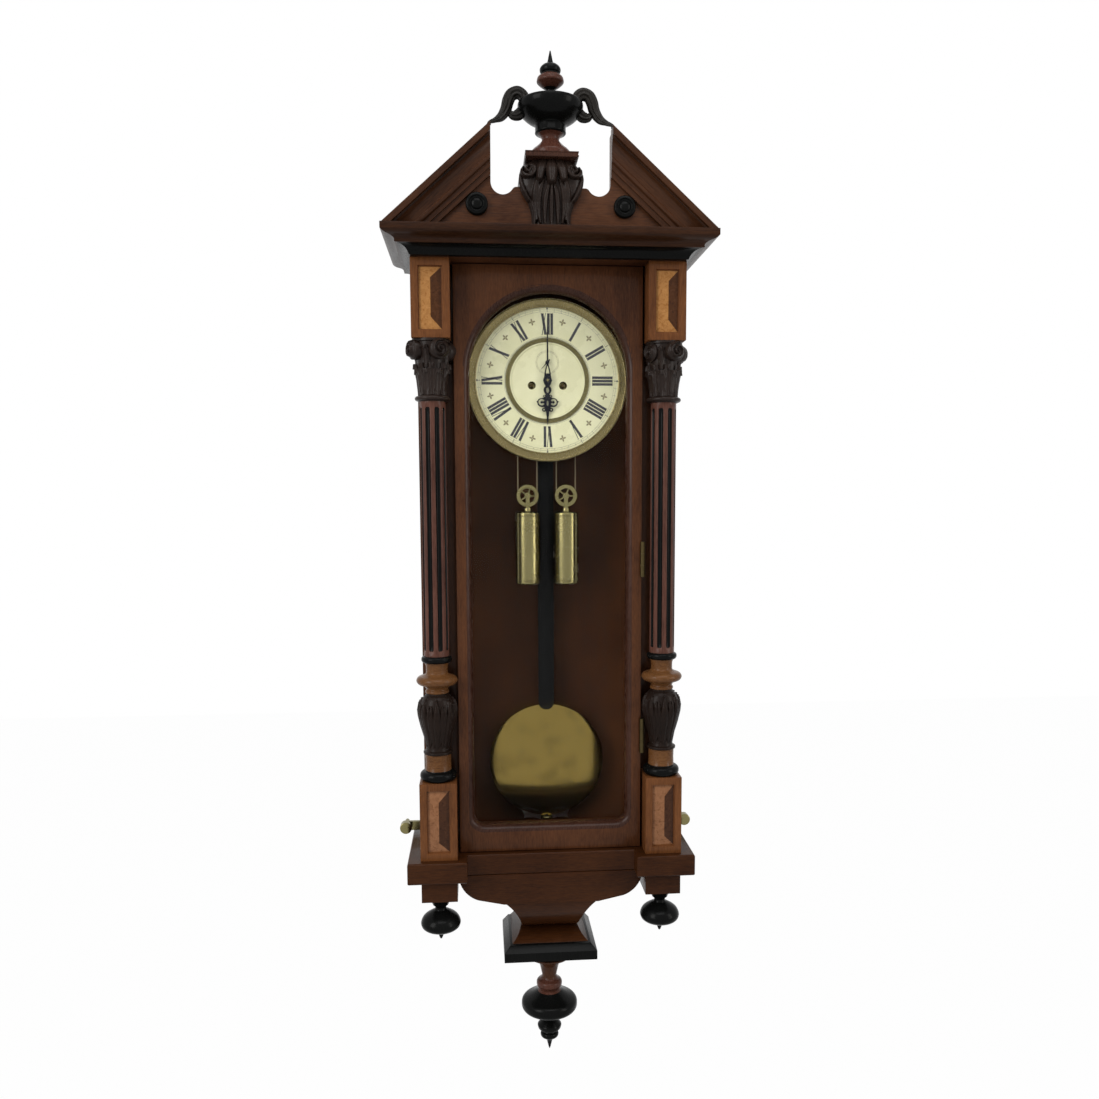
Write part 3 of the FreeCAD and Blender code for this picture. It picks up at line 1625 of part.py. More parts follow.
def drum(name, side, wheeled):
    """Line drum between flanges, on an arbor that ends in the winding square."""
    item = body(name + "_body")
    flange = S.flange_thick
    round_bar(item, 0, 0, S.wind_radius, REAR_END, S.drum_back)
    round_bar(item, 0, 0, S.drum_flange, S.drum_back - flange, S.drum_back)
    round_bar(item, 0, 0, S.drum_radius, S.drum_back, S.drum_front)
    round_bar(item, 0, 0, S.drum_flange, S.drum_front, S.drum_front + flange)
    round_bar(item, 0, 0, S.boss_radius, S.drum_front, FORE_END)
    half = S.square_side / 2
    slab(item, rect(-half, -half, half, half), PLATE_FACE, S.square_end)
    if wheeled:
        toothed(item, GREAT_TEETH - LEAVES, GREAT_MODULE, S.great_back, S.wheel_thick, 0)
        crossings(item, S.great_hub, GREAT_MODULE * (GREAT_TEETH - LEAVES) / 2 - S.wheel_rim * 1.5,
                  SPOKES, S.great_back, S.wheel_thick)
    node(name, at(item, S.wind_x * side, 0, DIAL_Z - S.wind_drop))


def great_wheel():
    item = body("great_body")
    phase = bearing(S.wind_x, -S.wind_drop, 0, 0)
    bore = S.wind_radius + S.play
    toothed(item, GREAT_TEETH, GREAT_MODULE, S.great_back, S.wheel_thick, phase, bore)
    rim = GREAT_MODULE * GREAT_TEETH / 2 - S.wheel_rim * 1.5
    crossings(item, S.great_hub, rim, SPOKES, S.great_back, S.wheel_thick)
    start = S.plate_back + S.plate_thick + S.slack
    round_bar(item, 0, 0, S.great_hub, start, S.great_back, bore)
    node("great_wheel", at(item, S.wind_x, 0, DIAL_Z - S.wind_drop))


def arbor_wheel(name, x, z, radius, leaves, wheel, start, end):
    """An arbor with a pinion on it and a crossed wheel beside the pinion."""
    item = body(name + "_body")
    round_bar(item, 0, 0, radius, start, end)
    toothed(item, *leaves)
    toothed(item, *wheel)
    count, module, back, thick, phase = wheel
    rim = module * count / 2 - S.wheel_rim * 1.3
    crossings(item, S.wheel_hub, rim, SPOKES, back, thick)
    node(name, at(item, x, 0, DIAL_Z + z))


def train():
    to_great = bearing(0, 0, S.wind_x, -S.wind_drop)
    to_third = bearing(0, 0, S.third_x, S.third_rise)
    to_escape = bearing(S.third_x, S.third_rise, 0, S.seconds_rise)
    arbor_wheel(
        "centre_wheel", 0, 0, S.centre_radius,
        (CENTRE_LEAVES, GREAT_MODULE, S.great_back, S.wheel_thick, to_great + 180 / CENTRE_LEAVES),
        (CENTRE_TEETH, CENTRE_MODULE, S.centre_back, S.wheel_thick, to_third),
        REAR_END, S.arbor_end)
    arbor_wheel(
        "third_wheel", S.third_x, S.third_rise, S.thin_radius,
        (LEAVES, CENTRE_MODULE, S.centre_back, S.wheel_thick, to_third + 180 + 180 / LEAVES),
        (THIRD_TEETH, THIRD_MODULE, S.third_back, S.wheel_thick, to_escape),
        REAR_END, FORE_END)


def escape_wheel():
    item = body("escape_body")
    to_third = bearing(0, S.seconds_rise, S.third_x, S.third_rise)
    back = S.escape_back
    thick = S.escape_thick
    round_bar(item, 0, 0, S.seconds_radius, REAR_END, S.seconds_depth)
    round_bar(item, 0, 0, S.escape_radius - S.escape_tooth, back, back + thick)
    low = S.escape_radius - S.escape_tooth * 1.1
    tooth = [
        (-S.escape_tooth * 0.22, low),
        (S.escape_tooth * 0.38, low),
        (S.escape_tooth * 0.42, S.escape_radius),
        (S.escape_tooth * 0.3, S.escape_radius),
    ]
    last = pad(item, sketch(item, "XZ_Plane", tooth, lift=back), thick)
    polar(item, last, ESCAPE_TEETH, "Y_Axis")
    rim = S.escape_radius - S.escape_tooth - S.wheel_rim
    crossings(item, S.wheel_hub, rim, SPOKES, back, thick)
    toothed(item, LEAVES, THIRD_MODULE, S.third_back, S.wheel_thick, to_third + 180 / LEAVES)
    node("escape_wheel", at(item, 0, 0, DIAL_Z + S.seconds_rise))


def anchor():
    """Dead-beat anchor over the escape wheel, with the crutch behind the back plate."""
    item = body("anchor_body")
    rise = S.anchor_rise
    high = rise + S.anchor_waist
    right = [
        (S.anchor_waist, S.anchor_crotch),
        arc(S.anchor_rise, S.pallet_in, S.pallet_rise, -1),
        (S.pallet_out, S.pallet_rise - S.play),
        arc(S.anchor_rise / 2, S.anchor_waist, high, 1),
    ]
    slab(item, both(right), S.anchor_back, S.anchor_back + S.anchor_thick)
    start = S.crutch_back
    round_bar(item, 0, rise, S.thin_radius, start, FORE_END)
    half = S.anchor_waist
    slab(item, rect(-half, -S.crutch_low, half, rise + half), start, start + S.crutch_thick)
    round_bar(item, 0, -S.crutch_pin_drop, S.thin_radius, S.crutch_pin_back, start)
    node("anchor", at(item, 0, 0, DIAL_Z))


def motion_work():
    item = body("minute_wheel_body")
    bore = S.thin_radius + S.play
    thick = S.wheel_thick
    toothed(item, MINUTE_TEETH, MINUTE_MODULE, S.motion_back, thick, 0, bore)
    crossings(item, S.wheel_hub, MINUTE_MODULE * MINUTE_TEETH / 2 - S.wheel_rim, 4,
              S.motion_back, thick)
    phase = 180 / LEAVES
    start = S.motion_back + thick
    toothed(item, LEAVES, HOUR_MODULE, start, S.hour_back + thick - start, phase, bore)
    node("minute_wheel", at(item, 0, 0, DIAL_Z - S.stud_drop))


def dial():
    """Enamel plate with a sunk centre, three feet and holes for the hands and the key."""
    thick = S.dial_thick
    well = thick - S.dial_well
    crest = thick + S.dial_ring_rise
    item = faced("dial_body", [
        (0, 0),
        (S.dial_radius, 0),
        (S.dial_radius, thick),
        (S.dial_ring_out, thick),
        (S.dial_ring_out - S.dial_ring_rise, crest),
        (S.dial_ring_in + S.dial_ring_rise, crest),
        (S.dial_ring_in, well),
        (0, well),
    ])
    feet = [("circle", *turn(S.dial_foot_ring, 0, angle), S.dial_foot) for angle in (0, 120, 240)]
    deep = S.dial_back - PLATE_FACE
    pad(item, sketch(item, "XZ_Plane", *feet), deep, Reversed=True)
    holes = [
        ("circle", 0, 0, S.dial_hole),
        ("circle", S.wind_x, -S.wind_drop, S.wind_hole),
        ("circle", -S.wind_x, -S.wind_drop, S.wind_hole),
        ("circle", 0, S.seconds_rise, S.seconds_hole),
    ]
    pocket(item, sketch(item, "XZ_Plane", *holes), thick, Reversed=True)
    node("dial", at(item, 0, S.dial_back, DIAL_Z))
    face = S.dial_back + thick
    rim = S.dial_radius + S.slack
    front = S.bezel_front
    ring = faced("bezel_body", [
        (S.bezel_in, face),
        (rim, face),
        (rim, S.bezel_back),
        (S.bezel_out, S.bezel_back),
        (S.bezel_out, face + S.slack),
        arc(S.bezel_out - rim + S.dial_thick, rim - S.dial_thick / 2, front, 1),
        arc(S.bezel_out * 2, S.bezel_in + S.dial_thick, face + S.dial_thick, 1),
        arc(S.dial_thick * 2, S.bezel_in, face + S.slack, 1),
    ])
    node("bezel", at(ring, 0, 0, DIAL_Z))


def clover(owner, rise, out, lobe, hole, start, end):
    """Four pierced lobes around a point on the hand, as separate overlapping rings."""
    spots = [(out, rise), (-dim(out), rise), (0, rise + out), (0, rise - out)]
    for x, z in spots:
        round_bar(owner, x, z, lobe, start, end)
    round_bar(owner, 0, rise, lobe, start, end)
    eyes = [("circle", x, z, hole) for x, z in spots]
    cut = sketch(owner, "XZ_Plane", *eyes, lift=start)
    pocket(owner, cut, end - dim(start), Reversed=True)


def hands():
    hour = body("hour_body")
    start = S.hour_depth
    end = start + S.hand_thick
    bore = S.pipe_radius + S.play
    thick = S.wheel_thick
    toothed(hour, HOUR_TEETH, HOUR_MODULE, S.hour_back, thick, 0, bore)
    round_bar(hour, 0, 0, S.hour_pipe, S.hour_back, end, bore)
    round_bar(hour, 0, 0, S.hour_boss, start, end, bore)
    stem = rect(-S.hour_stem, -S.hour_cross, S.hour_stem, -S.hour_boss * 0.9)
    slab(hour, stem, start, end)
    clover(hour, -S.hour_cross, S.hour_lobe_out, S.hour_lobe, S.hour_lobe_hole, start, end)
    blade = [
        (-S.hour_stem, -S.hour_blade),
        (-S.hour_blade_half, -S.hour_blade - S.hour_lobe),
        (0, -S.hour_tip),
        (S.hour_blade_half, -S.hour_blade - S.hour_lobe),
        (S.hour_stem, -S.hour_blade),
    ]
    slab(hour, blade, start, end)
    node("hour_hand", at(hour, 0, 0, DIAL_Z))
    minute = body("minute_body")
    start = S.minute_depth
    end = start + S.hand_thick
    bore = S.centre_radius + S.play
    toothed(minute, CANNON_LEAVES, MINUTE_MODULE, S.motion_back, thick, 180 / CANNON_LEAVES, bore)
    round_bar(minute, 0, 0, S.pipe_radius, S.motion_back, end, bore)
    round_bar(minute, 0, 0, S.minute_boss, start, end, bore)
    blade = [
        (-S.minute_stem, S.minute_boss * 0.9),
        (S.minute_stem, S.minute_boss * 0.9),
        (S.minute_tip_half, S.minute_tip),
        (-S.minute_tip_half, S.minute_tip),
    ]
    slab(minute, blade, start, end)
    clover(minute, S.minute_cross, S.minute_lobe_out, S.minute_lobe, S.minute_lobe_hole,
           start, end)
    node("minute_hand", at(minute, 0, 0, DIAL_Z))
    seconds = body("seconds_body")
    start = S.seconds_depth
    end = start + S.hand_thick
    round_bar(seconds, 0, 0, S.seconds_boss, start, end)
    angle = SECONDS_DEGREES
    half = S.seconds_half
    blade = [
        turn(-S.seconds_tail, -half * 2, angle),
        turn(-S.seconds_tail, half * 2, angle),
        turn(S.seconds_tip, half * 0.4, angle),
        turn(S.seconds_tip, -half * 0.4, angle),
    ]
    slab(seconds, blade, start, end)
    node("seconds_hand", at(seconds, 0, 0, DIAL_Z + S.seconds_rise))


SECONDS_DEGREES = 222


def pendulum():
    rod = body("rod_body")
    half = S.rod_half
    back = S.rod_back
    front = S.rod_front
    low = -S.rod_drop
    wood = [
        (-half, S.rod_top),
        (-half, low + half),
        arc(half, 0, low, 1),
        arc(half, half, low + half, 1),
        (half, S.rod_top),
    ]
    slab(rod, wood, back, front)
    hole = ("circle", 0, -S.crutch_pin_drop, S.thin_radius + S.play)
    pocket(rod, sketch(rod, "XZ_Plane", hole, lift=back), front - back, Reversed=True)
    clip = rect(-S.clip_half, S.rod_top, S.clip_half, S.rod_top + S.clip_high)
    slab(rod, clip, back + S.slack, front - S.slack)
    strip = S.strip_thick / 2
    slab(rod, rect(-strip, S.rod_top, strip, S.strip_top), back, front)
    pin = ("circle", -(back + front) / 2, S.strip_top, S.cross_pin)
    pad(rod, sketch(rod, "YZ_Plane", pin), S.cross_pin_half * 2, Midplane=True)
    wire = ("circle", 0, -(back + front) / 2, S.wire_radius)
    pad(rod, sketch(rod, "XY_Plane", wire, lift=-S.wire_drop), S.wire_drop - S.rod_drop + half)
    node("pendulum_rod", at(rod, 0, 0, DIAL_Z))
    radius = S.bob_radius
    deep = S.bob_half
    edge = S.bob_edge
    sag = deep - edge
    curve = (radius * radius + sag * sag) / (sag * 2)
    bob = faced("bob_body", [
        (0, -deep),
        arc(curve, radius, -edge, 1),
        (radius, edge),
        arc(curve, 0, deep, 1),
    ])
    gap = half + S.slack
    floor = S.bob_drop - S.rod_drop - S.bob_slot_floor
    slot = [
        (-gap, radius * 2),
        (-gap, floor + gap),
        arc(gap, 0, floor, 1),
        arc(gap, gap, floor + gap, 1),
        (gap, radius * 2),
    ]
    pocket(bob, sketch(bob, "XZ_Plane", slot), radius, Midplane=True)
    bore = ("circle", 0, 0, S.wire_radius + S.play)
    pocket(bob, sketch(bob, "XY_Plane", bore), radius * 4, Midplane=True)
    node("pendulum_bob", at(bob, 0, (back + front) / 2, DIAL_Z - S.bob_drop))
    inner = S.wire_radius + S.play
    lip = S.nut_lip
    nut = turned("nut_body", [
        (inner, 0),
        (S.nut_radius - lip, 0),
        (S.nut_radius, lip),
        (S.nut_radius, S.nut_high - lip),
        (S.nut_radius - lip, S.nut_high),
        (inner, S.nut_high),
    ])
    drop = S.bob_drop + radius + S.slack + S.nut_high
    node("rating_nut", at(nut, 0, (back + front) / 2, DIAL_Z - drop))


def weights():
    radius = S.weight_radius
    high = S.weight_high
    cap = S.weight_cap
    groove = S.weight_groove
    points = [
        (0, -high),
        (radius - groove * 2, -high),
        arc(groove * 2, radius, -high + groove * 2, 1),
        (radius, -high + cap),
        (radius - groove, -high + cap),
        (radius - groove, -high + cap + groove),
        (radius, -high + cap + groove),
        (radius, -cap - groove),
        (radius - groove, -cap - groove),
        (radius - groove, -cap),
        (radius, -cap),
        (radius, -groove * 2),
        arc(groove * 2, radius - groove * 2, 0, 1),
        (S.weight_boss, 0),
        (S.weight_boss, S.weight_boss_high),
        (0, S.weight_boss_high),
    ]
    for name, side in (("left", -1), ("right", 1)):
        item = turned("weight_%s_body" % name, points)
        leg = rect(-S.yoke_half, S.yoke_start, S.yoke_half, S.yoke_high)
        inside = S.yoke_in
        slab(item, leg, inside, inside + S.yoke_thick)
        slab(item, leg, -inside - S.yoke_thick, -inside)
        round_bar(item, 0, S.axle_rise, S.axle_radius, -S.axle_half, S.axle_half)
        x = S.weight_x * side
        node("weight_" + name, at(item, x, S.weight_depth, DIAL_Z - S.weight_top))
        deep = S.pulley_half
        bore = S.axle_radius + S.play
        pulley = faced("pulley_%s_body" % name, [
            (bore, -deep),
            (S.pulley_radius, -deep),
            (S.pulley_groove, 0),
            (S.pulley_radius, deep),
            (bore, deep),
        ])
        crossings(pulley, S.pulley_hub, S.pulley_rim, SPOKES, -deep, deep * 2)
        axle = DIAL_Z - S.weight_top + S.axle_rise
        node("pulley_" + name, at(pulley, x, S.weight_depth, axle))
        falls = []
        drum_end = S.weight_top - S.axle_rise - S.wind_drop
        bar_end = S.weight_top - S.axle_rise - S.plate_low - S.bar_high
        for out, length in ((S.gut_ring * side, drum_end), (S.gut_ring * -side, bar_end)):
            fall = doc.addObject("Part::Cylinder", "fall")
            bind(fall, "Radius", S.gut_radius)
            bind(fall, "Height", length)
            falls.append(at(fall, x + out, S.weight_depth, axle))
        bend = doc.addObject("Part::Torus", "bend")
        bind(bend, "Radius1", S.gut_ring)
        bind(bend, "Radius2", S.gut_radius)
        bend.Angle3 = 180
        bend.Placement.Rotation = FreeCAD.Rotation(FreeCAD.Vector(1, 0, 0), -90)
        falls.append(at(bend, x, S.weight_depth, axle))
        couple("line_" + name, falls)


def beat_plate():
    item = body("beat_body")
    low = S.beat_lift - S.wire_drop
    right = [
        (S.beat_nose, low),
        arc(S.beat_half, S.beat_half, low + S.beat_wing, -1),
        arc(S.beat_half, S.beat_half * 0.8, low + S.beat_high, 1),
    ]
    slab(item, both(right), S.back_thick, S.back_thick + S.beat_thick)
    node("beat_plate", at(item, 0, 0, DIAL_Z))


def gong():
    """Flat coil of wire on a post behind the movement."""
    item = body("gong_body")
    round_bar(item, 0, 0, S.gong_post, S.back_thick, S.gong_end)
    start = S.gong_post - S.gong_wire
    turns = []
    radius = start
    centre = dim(0)
    for number in range(GONG_HALF_TURNS):
        side = 1 if number % 2 == 0 else -1
        turns.append((radius, centre, side))
        centre = centre + S.gong_pitch / 2 * -side
        radius = radius + S.gong_pitch / 2
    coil = [item]
    for radius, middle, side in turns[1:]:
        bend = doc.addObject("Part::Torus", "coil")
        bind(bend, "Radius1", radius)
        bind(bend, "Radius2", S.gong_wire)
        bend.Angle3 = 180
        bend.Placement.Rotation = FreeCAD.Rotation(FreeCAD.Vector(1, 0, 0), -90 * side)
        at(bend, middle, S.gong_depth, 0)
        coil.append(bend)
    node("gong", at(fused("gong", coil), 0, 0, DIAL_Z - S.gong_drop))


GONG_HALF_TURNS = 10


def hammer():
    item = body("hammer_body")
    x = -S.hammer_x
    round_bar(item, x, S.hammer_rise, S.thin_radius, S.hammer_arm_back, FORE_END)
    half = S.hammer_arm_half
    arm = rect(x - half, -S.gong_drop, x + half, S.hammer_rise + half)
    slab(item, arm, S.hammer_arm_back, S.hammer_arm_back + S.hammer_arm_thick)
    head = ("circle", -S.gong_depth, -S.gong_drop, S.hammer_head)
    pad(item, sketch(item, "YZ_Plane", head, lift=-S.hammer_out), S.hammer_out - S.hammer_in)
    node("hammer", at(item, 0, 0, DIAL_Z))


MOST_NODES = 60
MAKERS = [
    backboard, hanger_plate, sides, front_frame, top_board, cornice, blocks, capital, shaft,
    column_base, rakes, tympanum, roundels, corbel, urn, scrolls, ledge, apron, pedestal, plinth,
    drops, bottom_finial, door, hinges, steadies, bracket, movement_frame, drums, great_wheel,
    train, escape_wheel, anchor, motion_work, dial, hands, pendulum, weights, beat_plate, gong,
    hammer,
]
for make in MAKERS:
    make()
doc.recompute()

for item in doc.Objects:
    if "Invalid" in item.State or "Error" in item.State:
        raise RuntimeError("%s didn't build: %s" % (item.Label, item.State))
for item in NODES:
    if item.Shape.isNull() or not item.Shape.isValid():
        raise RuntimeError("%s has no valid shape" % item.Label)
if len(NODES) > MOST_NODES:
    raise RuntimeError("%d sub-parts, over the limit" % len(NODES))
os.makedirs("parts", exist_ok=True)
for item in NODES:
    item.Shape.exportStep("parts/%s.step" % item.Label)
print("%d sub-parts" % len(NODES))
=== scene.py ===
# %% [markdown]
# # A weight-driven wall regulator
#
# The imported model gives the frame: every body of the clock in metres, with the
# origin at the hanger hole and the case standing forward of the wall towards -Y.
# This script adds what the photograph shows on top of it: turned and carved
# wood, a printed dial, polished brass, and the room's light on them.

import json
import math

import bmesh
import bpy
import numpy as np
from mathutils import Matrix, Vector


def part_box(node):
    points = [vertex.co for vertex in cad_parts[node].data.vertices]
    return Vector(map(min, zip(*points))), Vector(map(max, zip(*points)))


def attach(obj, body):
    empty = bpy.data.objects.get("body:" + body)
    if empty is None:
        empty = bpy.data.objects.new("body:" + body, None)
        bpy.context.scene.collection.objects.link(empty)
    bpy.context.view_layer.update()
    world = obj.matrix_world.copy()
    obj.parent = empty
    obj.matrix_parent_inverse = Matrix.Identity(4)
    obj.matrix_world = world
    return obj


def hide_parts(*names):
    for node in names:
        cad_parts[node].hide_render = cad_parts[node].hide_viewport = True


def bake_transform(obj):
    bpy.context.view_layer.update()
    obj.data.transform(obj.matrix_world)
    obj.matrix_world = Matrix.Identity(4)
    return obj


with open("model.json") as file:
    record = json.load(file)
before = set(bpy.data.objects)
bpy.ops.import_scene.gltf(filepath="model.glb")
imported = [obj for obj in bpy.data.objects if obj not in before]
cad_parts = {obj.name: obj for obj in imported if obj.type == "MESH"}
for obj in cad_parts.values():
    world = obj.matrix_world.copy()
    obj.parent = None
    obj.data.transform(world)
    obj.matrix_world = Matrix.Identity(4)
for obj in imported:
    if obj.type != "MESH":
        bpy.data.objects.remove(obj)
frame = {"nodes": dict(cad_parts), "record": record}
bpy.context.scene.view_settings.view_transform = "Standard"
nodes = frame["nodes"]
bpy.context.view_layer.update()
print("packed nodes:", len(nodes))

# %% [markdown]
# ## Places shared with the solids
#
# Heights are measured from the hanger, depths from the wall. The dial centre is
# the second datum, because the clockwork is laid out from it. The rest are read
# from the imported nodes, so that a turned piece stands on the one below it.

# %% Places
MM = 0.001
DIAL_Z = -147.5 * MM
COLUMN_X = 144.7 * MM
COLUMN_DEPTH = 113.5 * MM
URN_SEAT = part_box("urn")[0][2]
LEDGE_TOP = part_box("lower_blocks")[0][2]
CAPITAL_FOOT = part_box("capitals")[0][2]
BASE_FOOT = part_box("lower_blocks")[1][2]
UNDER_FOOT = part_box("under_blocks")[0][2]
TAIL_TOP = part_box("plinth_moulding")[0][2]
ROUNDEL_Z = (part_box("roundels")[0][2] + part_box("roundels")[1][2]) / 2
SIDES = ((-1, "left"), (1, "right"))

def place(x, depth, z):
    """A point given by its distance from the centre line, the wall and the hanger."""
    return Vector((x, -depth, z))


print("capital foot %.1f mm, urn seat %.1f mm" % (CAPITAL_FOOT / MM, URN_SEAT / MM))

# %% [markdown]
# ## Arithmetic on shader sockets
#
# A procedural material is a sum of small patterns. `Flow` wraps one socket, so
# that patterns add, multiply and mix as plain expressions, and each operator
# adds the node that does it. Writing the nodes out one by one would take four
# lines for every sum.



# %% Shader sockets
class Flow:
    """One output socket of a material's tree, ready for arithmetic."""

    def __init__(self, tree, socket):
        self.tree = tree
        self.socket = socket

    def feed(self, target, value):
        """Links a flow to an input, or sets the input to a plain value."""
        if isinstance(value, Flow):
            self.tree.links.new(value.socket, target)
        elif value is not None:
            target.default_value = value

    def node(self, kind, output=0, settings=None, **inputs):
        """Adds any node. Inputs go by name, with spaces written as underscores."""
        item = self.tree.nodes.new("ShaderNode" + kind)
        for name, value in (settings or {}).items():
            setattr(item, name, value)
        for name, value in inputs.items():
            self.feed(item.inputs[name.replace("_", " ")], value)
        return Flow(self.tree, item.outputs[output])

    def math(self, operation, *values):
        item = self.tree.nodes.new("ShaderNodeMath")
        item.operation = operation
        for target, value in zip(item.inputs, values):
            self.feed(target, value)
        return Flow(self.tree, item.outputs[0])

    def __add__(self, other):
        return self.math("ADD", self, other)

    def __sub__(self, other):
        return self.math("SUBTRACT", self, other)

    def __mul__(self, other):
        return self.math("MULTIPLY", self, other)

    def clamp(self):
        return self.node("Clamp", Value=self)

    def stretched(self, x, y, z):
        """A vector scaled along each axis."""
        item = self.tree.nodes.new("ShaderNodeVectorMath")
        item.operation = "MULTIPLY"
        self.feed(item.inputs[0], self)
        item.inputs[1].default_value = (x, y, z)
        return Flow(self.tree, item.outputs[0])

    def moved(self, other, share):
        """A vector pushed about by another flow."""
        item = self.tree.nodes.new("ShaderNodeVectorMath")
        item.operation = "MULTIPLY_ADD"
        self.feed(item.inputs[0], other)
        item.inputs[1].default_value = (share, share, share)
        self.feed(item.inputs[2], self)
        return Flow(self.tree, item.outputs[0])

    def mix(self, low, high):
        """Blends two colours, with this flow as the share of the second."""
        item = self.tree.nodes.new("ShaderNodeMix")
        item.data_type = "RGBA"
        self.feed(item.inputs[0], self)
        for target, value in ((item.inputs[6], low), (item.inputs[7], high)):
            if isinstance(value, tuple) and len(value) == 3:
                value = value + (1.0,)
            self.feed(target, value)
        return Flow(self.tree, item.outputs[2])

    def span(self, low, high, start=0.0, end=1.0):
        """Stretches the part from low to high over start to end, and clamps the rest."""
        return self.node("MapRange", Value=self, From_Min=low, From_Max=high,
                         To_Min=start, To_Max=end)

    def noise(self, scale, detail=4.0, rough=0.55, distortion=0.0, output=0):
        return self.node("TexNoise", output=output, Vector=self, Scale=scale, Detail=detail,
                         Roughness=rough, Distortion=distortion)

# %% [markdown]
# ### A new material
#
# Every surface starts from the same three things: the material, its shader node
# and the place of the point in the piece. Relief too fine to model goes in as a
# bump.



# %% Materials
def material(name, **shader):
    """A new material. Returns it with its shader node and the flow of its own place."""
    item = bpy.data.materials.new(name)
    item.use_nodes = True
    tree = item.node_tree
    bsdf = tree.nodes["Principled BSDF"]
    for prop, value in shader.items():
        bsdf.inputs[prop.replace("_", " ")].default_value = value
    coords = tree.nodes.new("ShaderNodeTexCoord")
    return item, bsdf, Flow(tree, coords.outputs["Object"])


def bumps(flow, bsdf, height, distance, strength=1.0):
    out = flow.node("Bump", Height=height, Distance=distance, Strength=strength)
    flow.feed(bsdf.inputs["Normal"], out)

# %% [markdown]
# ## Wood
#
# Polished walnut has three scales: slow changes of tone from board to board,
# dark figure lines that run along the grain, and short open pores. Stretching
# the pattern space along the grain gives all three their length. French polish
# is a thin soft layer, so its gloss is kept low, and dark woods get less of it.

# %% Wood
POLISH = {"Specular_IOR_Level": 0.10, "Coat_Weight": 0.2, "Coat_IOR": 1.25,
          "Coat_Roughness": 0.1}
GRAIN = {"x": (1, 9, 9), "y": (9, 1, 9), "z": (9, 9, 1)}


def wood(name, dark, middle, light, grain="z", gloss=0.3, figure=1.0, pores_open=1.0, slope=0.0,
         sheen=1.0):
    polish = dict(POLISH)
    for socket in ("Specular_IOR_Level", "Coat_Weight"):
        polish[socket] *= sheen
    item, bsdf, here = material(name, **polish)
    if slope:
        here = here.node("VectorRotate", settings={"rotation_type": "Y_AXIS"}, Vector=here,
                         Angle=slope)
    along = here.stretched(*GRAIN[grain])
    wander = along.noise(2.2, 3.0)
    tone = here.noise(7.0, 3.0)
    lines = along.moved(wander, 0.35).noise(16.0, 6.0, 0.62, 0.6)
    fine = along.noise(95.0, 4.0, 0.6)
    pores = here.stretched(*(v * v for v in GRAIN[grain])).noise(22.0, 2.0, 0.5)
    pits = pores.span(0.60, 0.70) * pores_open
    streaks = (lines * figure + tone * 0.55 - 0.28 * figure).span(0.12, 0.72)
    shade = streaks.mix(dark, middle)
    glow = (fine * 0.6 + tone * 0.6).span(0.48, 0.85)
    colour = glow.mix(shade, light)
    colour = (pits * 0.55).mix(colour, tuple(v * 0.35 for v in dark))
    here.feed(bsdf.inputs["Base Color"], colour)
    rough = fine.span(0.2, 0.8, gloss - 0.05, gloss + 0.12) + pits * 0.12
    here.feed(bsdf.inputs["Roughness"], rough)
    bumps(here, bsdf, fine * 0.35 - pits * 0.6 + lines * 0.4, 0.00012)
    return item

# %% [markdown]
# ### The clock's woods
#
# The case is one walnut seen in many lights: the door and blocks are brighter,
# ledge and apron deeper, the cornice dusky. The turned buns are golden, the urn
# russet, and the carving, rod and drops are stained nearly black. Each tone is a
# dark, a middle and a light that the grain moves between.

# %% Wood tones
WALNUT = ((0.020, 0.0062, 0.0026), (0.064, 0.0225, 0.0090), (0.108, 0.0420, 0.0175))
walnut = {axis: wood("walnut_" + axis, *WALNUT, grain=axis) for axis in "xz"}
bright = wood("walnut_bright", (0.055, 0.0180, 0.0058), (0.142, 0.0500, 0.0160),
              (0.215, 0.0830, 0.0280), grain="z")
golden = wood("walnut_golden", (0.049, 0.0165, 0.0048), (0.133, 0.0530, 0.0168),
              (0.210, 0.0945, 0.0336), grain="x", gloss=0.24)
russet = wood("walnut_russet", (0.026, 0.0080, 0.0050), (0.070, 0.0240, 0.0150),
              (0.120, 0.0460, 0.0300), grain="z", gloss=0.24)
deep = wood("walnut_deep", (0.013, 0.0036, 0.0012), (0.041, 0.0125, 0.0036),
            (0.072, 0.0250, 0.0080), grain="x", sheen=0.7)
dusky = wood("walnut_dusky", (0.010, 0.0032, 0.0014), (0.032, 0.0116, 0.0048),
             (0.055, 0.0215, 0.0092), grain="x", sheen=0.7)
door_wood = wood("walnut_door", (0.025, 0.0074, 0.0028), (0.077, 0.0262, 0.0098),
                 (0.128, 0.0490, 0.0195), grain="z")
bead_wood = wood("walnut_bead", (0.014, 0.0050, 0.0030), (0.044, 0.0170, 0.0100),
                 (0.075, 0.0300, 0.0180), grain="z", gloss=0.24)
RAKE_SLOPE = math.atan2(113.5, 126.0)
RAKE_TONES = ((0.014, 0.0044, 0.0018), (0.045, 0.0158, 0.0064), (0.076, 0.0295, 0.0123))
slope_wood = {side: wood("walnut_rake_" + word, *RAKE_TONES, grain="x", slope=-side * RAKE_SLOPE)
              for side, word in SIDES}
ebony = wood("ebonised", (0.0022, 0.0023, 0.0022), (0.0040, 0.0042, 0.0040),
             (0.0064, 0.0067, 0.0064), grain="z", gloss=0.22, figure=0.5, pores_open=0.12,
             sheen=0.45)
carving = wood("carved_wood", (0.0064, 0.0038, 0.0030), (0.0170, 0.0102, 0.0080),
               (0.0320, 0.0200, 0.0155), grain="z", gloss=0.36)
vase_wood = wood("carved_wood_vase", (0.0046, 0.0026, 0.0019), (0.0125, 0.0070, 0.0050),
                 (0.0245, 0.0140, 0.0100), grain="z", gloss=0.36, sheen=0.7)
